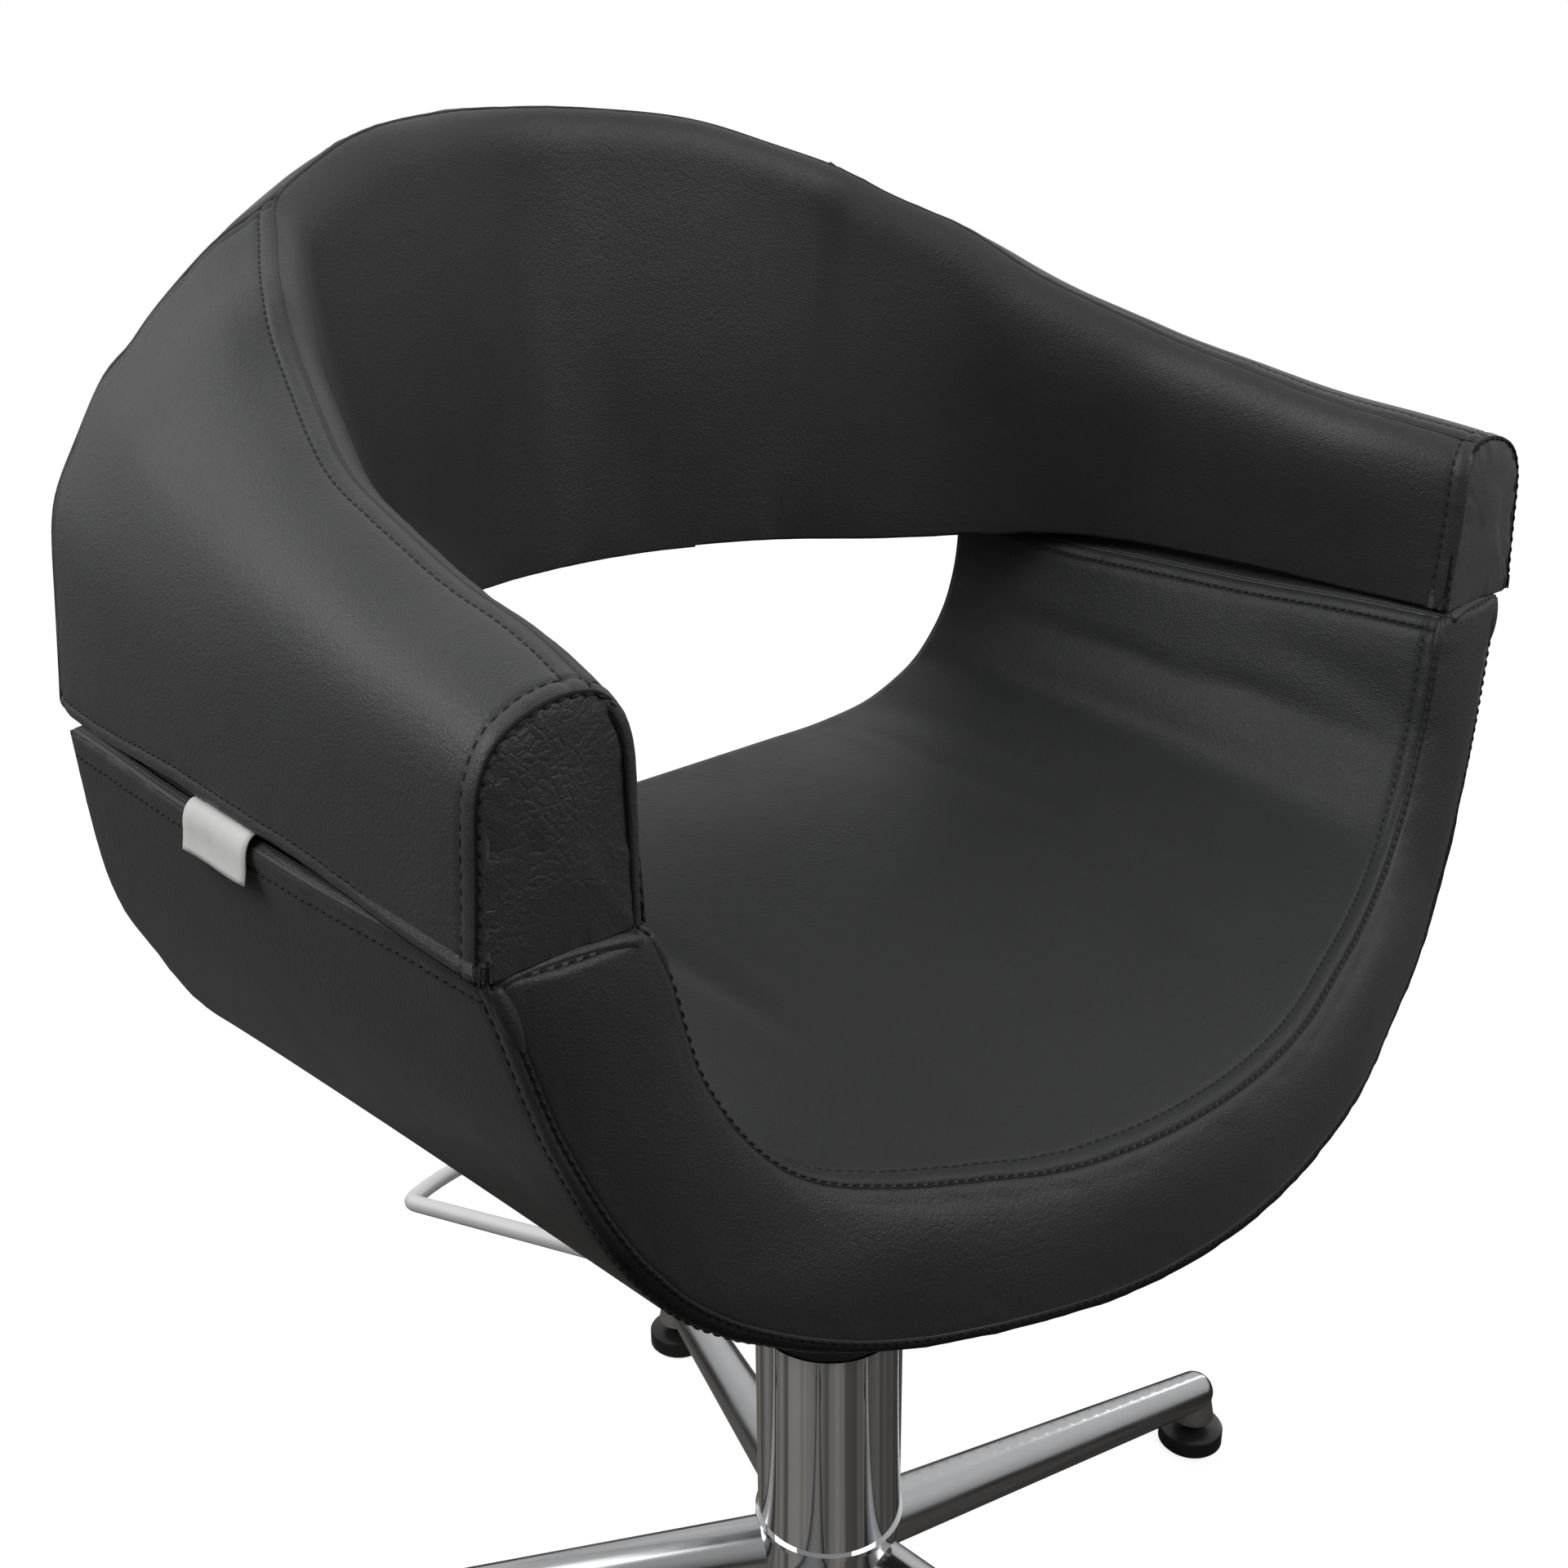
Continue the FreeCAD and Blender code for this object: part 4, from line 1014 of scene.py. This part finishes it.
def make_band_inner():
    """One panel inside both arms and the back; only the sections' inner runs are used."""
    (grid,) = band_grids(0, LAST_STATION, False, (INNER_RUN,))
    normal = facing(grid, outward=False)
    obj, _ = panel("band_inner_panel", grid, normal, LEATHER_BAND_INNER,
                   [(3.0, False), (1.8, False), (2.2, True), (2.2, True)], "band", seed=57,
                   bulge=4.0)
    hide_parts("back_inner_pad")
    return grid, normal


def make_ridge_seam(outer, inner_grid, inner_normal):
    rows = [np.concatenate([outer["band_side_left"][i][0][:-1], outer["band_rear"][i][0][:-1],
                            outer["band_side_right"][i][0]]) for i in (0, 1)]
    along = arclen(rows[0])
    points, normal = (sample(row, along / along[-1], np.linspace(0, 1, 420)) for row in rows)
    closest = ((points[:, None] - inner_grid[-1][None]) ** 2).sum(2).argmin(1)
    normal = unit(normal + inner_normal[-1][closest])
    seat_tube("seam_ridge", (points - normal * 1.3)[2:-2], 1.0, CORD)


def make_corner_seams(outer):
    """Cords down the two rear corners of the band."""
    rear_grid, rear_normal = outer["band_rear"]
    for side, column, rear_column in (("left", -1, 0), ("right", 0, -1)):
        grid, normal = outer["band_side_" + side]
        line = grid[:, column]
        along, rear_along = arclen(line), arclen(rear_grid[:, rear_column])
        matched = sample(rear_normal[:, rear_column], rear_along / rear_along[-1],
                         along / along[-1])
        normal = unit(normal[:, column] + matched)
        seat_tube("seam_corner_" + side, (line - normal * 1.0)[1:-1], 1.5, CORD)


outer_panels = make_band_outer()
make_ridge_seam(outer_panels, *make_band_inner())
make_corner_seams(outer_panels)

# ------------------------------------------------------------------ D-shaped arm caps
CAP_Y = -174.4
CAP_COUNT = 160             # points round a cap
CAP_GAP = .8                # the outermost ring lies this far inside the band's end
CAP_CROWN = 4.2
# distances of the outer rings from the outermost one
CAP_RINGS = np.array([0, .25, .7, 1.3, 2.0, 3.0, 4.2, 5.6, 7.2, 9.5, 12.5, 16, 20])


def border_distance(rings, border):
    """Distance of every ring point from the border, in the x-z plane."""
    start, end = border[:, (0, 2)], np.roll(border, -1, 0)[:, (0, 2)]
    offset = rings[..., (0, 2)].reshape(-1, 1, 2) - start[None]
    side = (end - start)[None]
    share = np.clip((offset * side).sum(2) / (side ** 2).sum(2), 0, 1)
    squares = ((offset - side * share[..., None]) ** 2).sum(2)
    return np.sqrt(squares).min(1).reshape(rings.shape[:2])


def cap_relief(away, seed):
    """How far each ring point stands forward."""
    edge_radius = 3.0
    edge = np.sqrt(np.maximum(1 - np.clip(1 - away / edge_radius, 0, 1) ** 2, 0)) - 1
    relief = edge_radius * edge + CAP_CROWN * (1 - np.exp(-away / 15.0))
    # smooth the crown, but not the edge
    share = np.clip((away - 4.5) / 8.0, 0, 1)
    for _ in range(60):
        centre = relief[-1:].mean() * np.ones((1, CAP_COUNT))
        smooth = (np.roll(relief, 1, 1) + np.roll(relief, -1, 1)
                  + np.vstack([relief[:1], relief[:-1]])
                  + np.vstack([relief[1:], centre])) / 4
        relief = relief * (1 - share) + smooth * share
    phases = np.random.default_rng(seed).uniform(0, 6.28, 4)
    theta = np.linspace(0, 2 * math.pi, CAP_COUNT, endpoint=False)
    pucker = sum(height * np.sin(waves * theta + phase) for height, waves, phase
                 in zip((.25, .2, .2, .15), (7, 13, 19, 29), phases))
    return relief + pucker[None] * np.exp(-(away / 9.0) ** 2) * np.clip(away / 2.5, 0, 1)


def cap_mesh(name, rings, centre, material):
    """Closes the rings with a centre point, a rim running back and a flat rear face."""
    n = CAP_COUNT
    verts = np.vstack([
        rings.reshape(-1, 3), [[centre[0], rings[-1, :, 1].mean() - .05, centre[2]]],
        rings[0] + np.array([0, 7.0, 0]), [[centre[0], CAP_Y + 8.0, centre[2]]]])
    middle = len(rings) * n
    back = middle + 1
    back_middle = back + n
    faces = []
    for i in range(len(rings) - 1):
        for j in range(n):
            k = (j + 1) % n
            faces.append([i * n + j, i * n + k, (i + 1) * n + k, (i + 1) * n + j])
    for j in range(n):
        k = (j + 1) % n
        faces.append([middle - n + j, middle - n + k, middle])
        faces.append([back + j, back + k, k, j])
        faces.append([back + k, back + j, back_middle])
    p, q, s = verts[faces[0][:3]]
    if np.dot(np.cross(q - p, s - q), [0, -1, 0]) < 0:
        faces = [face[::-1] for face in faces]
    return mesh_obj(name, verts, faces, material)


def make_arm_cap(side, station, material, seed):
    runs = band_section(station, False)
    outline = np.vstack([run[:-1] for run in runs] + [runs[0][:1]])
    along = arclen(outline)
    border = sample(outline, along, np.linspace(0, along[-1], CAP_COUNT, endpoint=False))
    low, high = border.min(axis=0), border.max(axis=0)
    centre = np.array([(high[0] + low[0]) / 2, 0, (high[2] + low[2]) / 2 - 2])
    spokes = border - centre
    spokes[:, 1] = 0
    reach = np.linalg.norm(spokes, axis=1)
    scales = [1 - (inset + CAP_GAP) / reach for inset in CAP_RINGS]
    scales += [scales[-1] * (share / .8) for share in np.linspace(.72, .06, 14)]
    rings = np.array([centre[None] + spokes * scale[:, None] for scale in scales])
    rings[..., 1] = CAP_Y + 1.0 - cap_relief(border_distance(rings, border), seed)
    obj = cap_mesh("arm_cap_panel_" + side, rings, centre, material)
    on_seat(obj, replaces="arm_cap_" + side)
    # seam cord and stitches round the D; the cord's near-black colour is painted shade in the
    # seam
    outwards = spokes / reach[:, None]
    cord = border - outwards * 1.1
    cord[:, 1] = CAP_Y + .9
    seat_tube("seam_cap_" + side, cord, .95, CORD_PAINTED_SHADE, closed=True)
    points = centre[None] + spokes * (1 - 1.7 / reach)[:, None]
    points[:, 1] = CAP_Y - .1
    normal = np.array([[0, -1.0, 0]]) + outwards * .35
    add_stitch_line("cap", np.vstack([points, points[:1]]), np.vstack([normal, normal[:1]]))


make_arm_cap("left", 0.0, LEATHER_CAP_LEFT_PAINTED_LIGHT, seed=5)
make_arm_cap("right", float(LAST_STATION), LEATHER_CAP_RIGHT, seed=9)


# ------------------------------------------------------------------ blank label tag
def make_tag():
    """Small cloth tag hanging from the gap between band and tub on the right side."""
    # centre line from the gap outwards and down: x, y, z
    path = np.array([[-300.0, 0, 630.9], [-306.8, 0, 632.5], [-310.5, 0, 628.4],
                     [-311.8, 0, 621.0], [-313.0, 0, 614.0]])
    first_y, width, thickness = -21.5, 48.5, .45
    down, across = np.linspace(0, 1, 16), np.linspace(0, 1, 12)
    along = arclen(path)
    line = spline(along, path, down * along[-1])
    grid = np.zeros((len(down), len(across), 3))
    for j, share in enumerate(across):
        grid[:, j] = line
        grid[:, j, 1] = first_y + width * share + 1.0 * down * (share - .5)
        # the free end waves a little
        grid[:, j, 0] -= .8 * np.sin(share * 5.2 + .8) * down ** 1.5
        grid[:, j, 2] += .5 * np.cos(share * 4.1) * down
    normal = normals(grid)
    if normal[..., 0].mean() >= 0:
        normal = -normal
    on_seat(shell("blank_tag", grid, normal, thickness, TAG_CLOTH),
            replaces="label_tag")


make_tag()


# ------------------------------------------------------------------ all stitches
def at_rear_corner(points):
    return points[:, 1].min() > 150 and abs(points[:, 0]).min() > 150


for stitch_group, lines in stitch_lines.items():
    if stitch_group == "band":
        # the upright seams at the two rear corners are turned in, with no visible topstitch
        lines = [line for line in lines if not at_rear_corner(line[0])]
    group_pitch = CAP_STITCH_PITCH if stitch_group == "cap" else STITCH_PITCH
    on_seat(stitches("stitches_" + stitch_group, lines, group_pitch))


# ------------------------------------------------------------------ floor
def painted_floor_reflection(s):
    """What the chair's metal and leather see: a painted reflection, a floor that glows though
    unlit, with a dim streaked ring and painted dark shade under the chair.
    """
    place = s.add("SeparateXYZ", {0: s.coords}).outputs
    flat = s.out("CombineXYZ", place["X"], place["Y"])
    direction = s.out("VectorMath", flat, operation="NORMALIZE")
    streaks = s.add("TexNoise", {"Vector": direction, "Scale": 2.3, "Detail": 2.0,
                                 "Roughness": .6}).outputs["Fac"]
    ring = s.mix(s.ramp(streaks, .40, .60, 0, 1), (.078, .072, .066, 1),
                 (.245, .228, .212, 1))
    radius = s.add("VectorMath", {0: s.coords}, operation="LENGTH").outputs["Value"]
    under = s.ramp(radius, .34, .42, 1, 0)
    # painted shade: the side towards +X and -Y is dimmer
    turn = s.add("VectorMath", {0: direction, 1: (.87, -.5, 0)}, operation="DOT_PRODUCT")
    dimmed = s.scaled(ring, s.ramp(turn.outputs["Value"], .2, .9, 1, .5))
    # the mix's first colour is the painted shade under the chair, so under runs the other way
    # round
    colour = s.mix(under, (.030, .028, .026, 1), dimmed)
    return s.out("Emission", colour)


def make_floor():
    bpy.ops.mesh.primitive_plane_add(size=14, location=(0, 0, -.0005))
    floor = bpy.context.object
    floor.name = "floor"
    s = Surface("floor_pale")
    # glossy rays see the painted, glowing floor reflection; other rays see the lit floor
    painted_reflection = painted_floor_reflection(s)
    s.set({"Base Color": (.060, .056, .052, 1), "Roughness": .6})
    glossy = s.add("LightPath").outputs["Is Glossy Ray"]
    unseen = s.out("MixShader", glossy, s.principled.outputs[0], painted_reflection)
    # the camera sees a pale plain sweep
    glow = s.add("Emission", {"Color": (1, 1, 1, 1), "Strength": .80}).outputs[0]
    matt = s.out("BsdfDiffuse", (.40, .40, .40, 1))
    pale = s.out("AddShader", glow, matt)
    camera_ray = s.add("LightPath").outputs["Is Camera Ray"]
    s.feed(s.output, {0: s.out("MixShader", camera_ray, unseen, pale)})
    floor.data.materials.append(s.material)


# ------------------------------------------------------------------ world, lights, camera
def make_world():
    """White to the camera; elsewhere grey, brighter upwards and towards +X and +Y."""
    world = bpy.data.worlds.new("studio")
    scene.world = world
    world.use_nodes = True
    g = Graph(world.node_tree)
    output = next(n for n in g.tree.nodes if n.type == "OUTPUT_WORLD")
    room = g.tree.nodes["Background"]
    direction = g.add("SeparateXYZ", {0: g.add("TexCoord").outputs["Generated"]}).outputs
    from_z = g.ramp(direction["Z"], -.05, .55, .13, .42)
    from_y = g.ramp(direction["Y"], .15, .95, 0, .30)
    from_x = g.ramp(direction["X"], .15, .85, 0, .32)
    level = g.math("ADD", g.math("ADD", from_z, from_y), from_x)
    g.feed(room, {"Color": g.out("CombineColor", level, level, level), "Strength": 1.0})
    white = g.out("Background", (1, 1, 1, 1))
    camera_ray = g.add("LightPath").outputs["Is Camera Ray"]
    g.feed(output, {0: g.out("MixShader", camera_ray, room.outputs[0], white)})


def area_light(name, location, target, size, power, size_y=None):
    data = bpy.data.lights.new(name, "AREA")
    data.energy = power
    data.shape = "RECTANGLE"
    data.size, data.size_y = size, size_y or size
    light = link(bpy.data.objects.new(name, data))
    light.location = location
    aim = Vector(target) - Vector(location)
    light.rotation_euler = aim.to_track_quat("-Z", "Y").to_euler()


def make_camera(location, turn, tilt, roll, lens):
    """turn is about Z from +Y, tilt is downwards; angles in degrees, lens in mm."""
    turn, tilt, roll = (math.radians(angle) for angle in (turn, tilt, roll))
    forward = Vector((-math.sin(turn) * math.cos(tilt), math.cos(turn) * math.cos(tilt),
                      -math.sin(tilt)))
    level = Vector((math.cos(turn), math.sin(turn), 0))
    upright = level.cross(forward)
    right = level * math.cos(roll) + upright * math.sin(roll)
    up = -level * math.sin(roll) + upright * math.cos(roll)
    data = bpy.data.cameras.new("cam")
    data.sensor_width = 36.0
    data.lens = lens
    data.clip_start, data.clip_end = .02, 60
    camera = link(bpy.data.objects.new("cam", data))
    rows = [(right[i], up[i], -forward[i], location[i]) for i in range(3)]
    camera.matrix_world = Matrix((*rows, (0, 0, 0, 1)))
    scene.camera = camera


make_floor()
make_world()
area_light("key", location=(-1.6, .9, 2.1), target=(-.1, 0, .65), size=1.5, power=27)
area_light("front", location=(.5, -1.9, 2.2), target=(0, .1, .7), size=1.6, power=22)
area_light("edge_right", location=(2.2, .3, .5), target=(0, 0, .3), size=.12, size_y=1.4,
           power=3)
make_camera(location=(-.57973, -.59308, .88829), turn=-42.839, tilt=21.404, roll=-.5256,
            lens=42.3171375)
scene.view_settings.view_transform = "Standard"
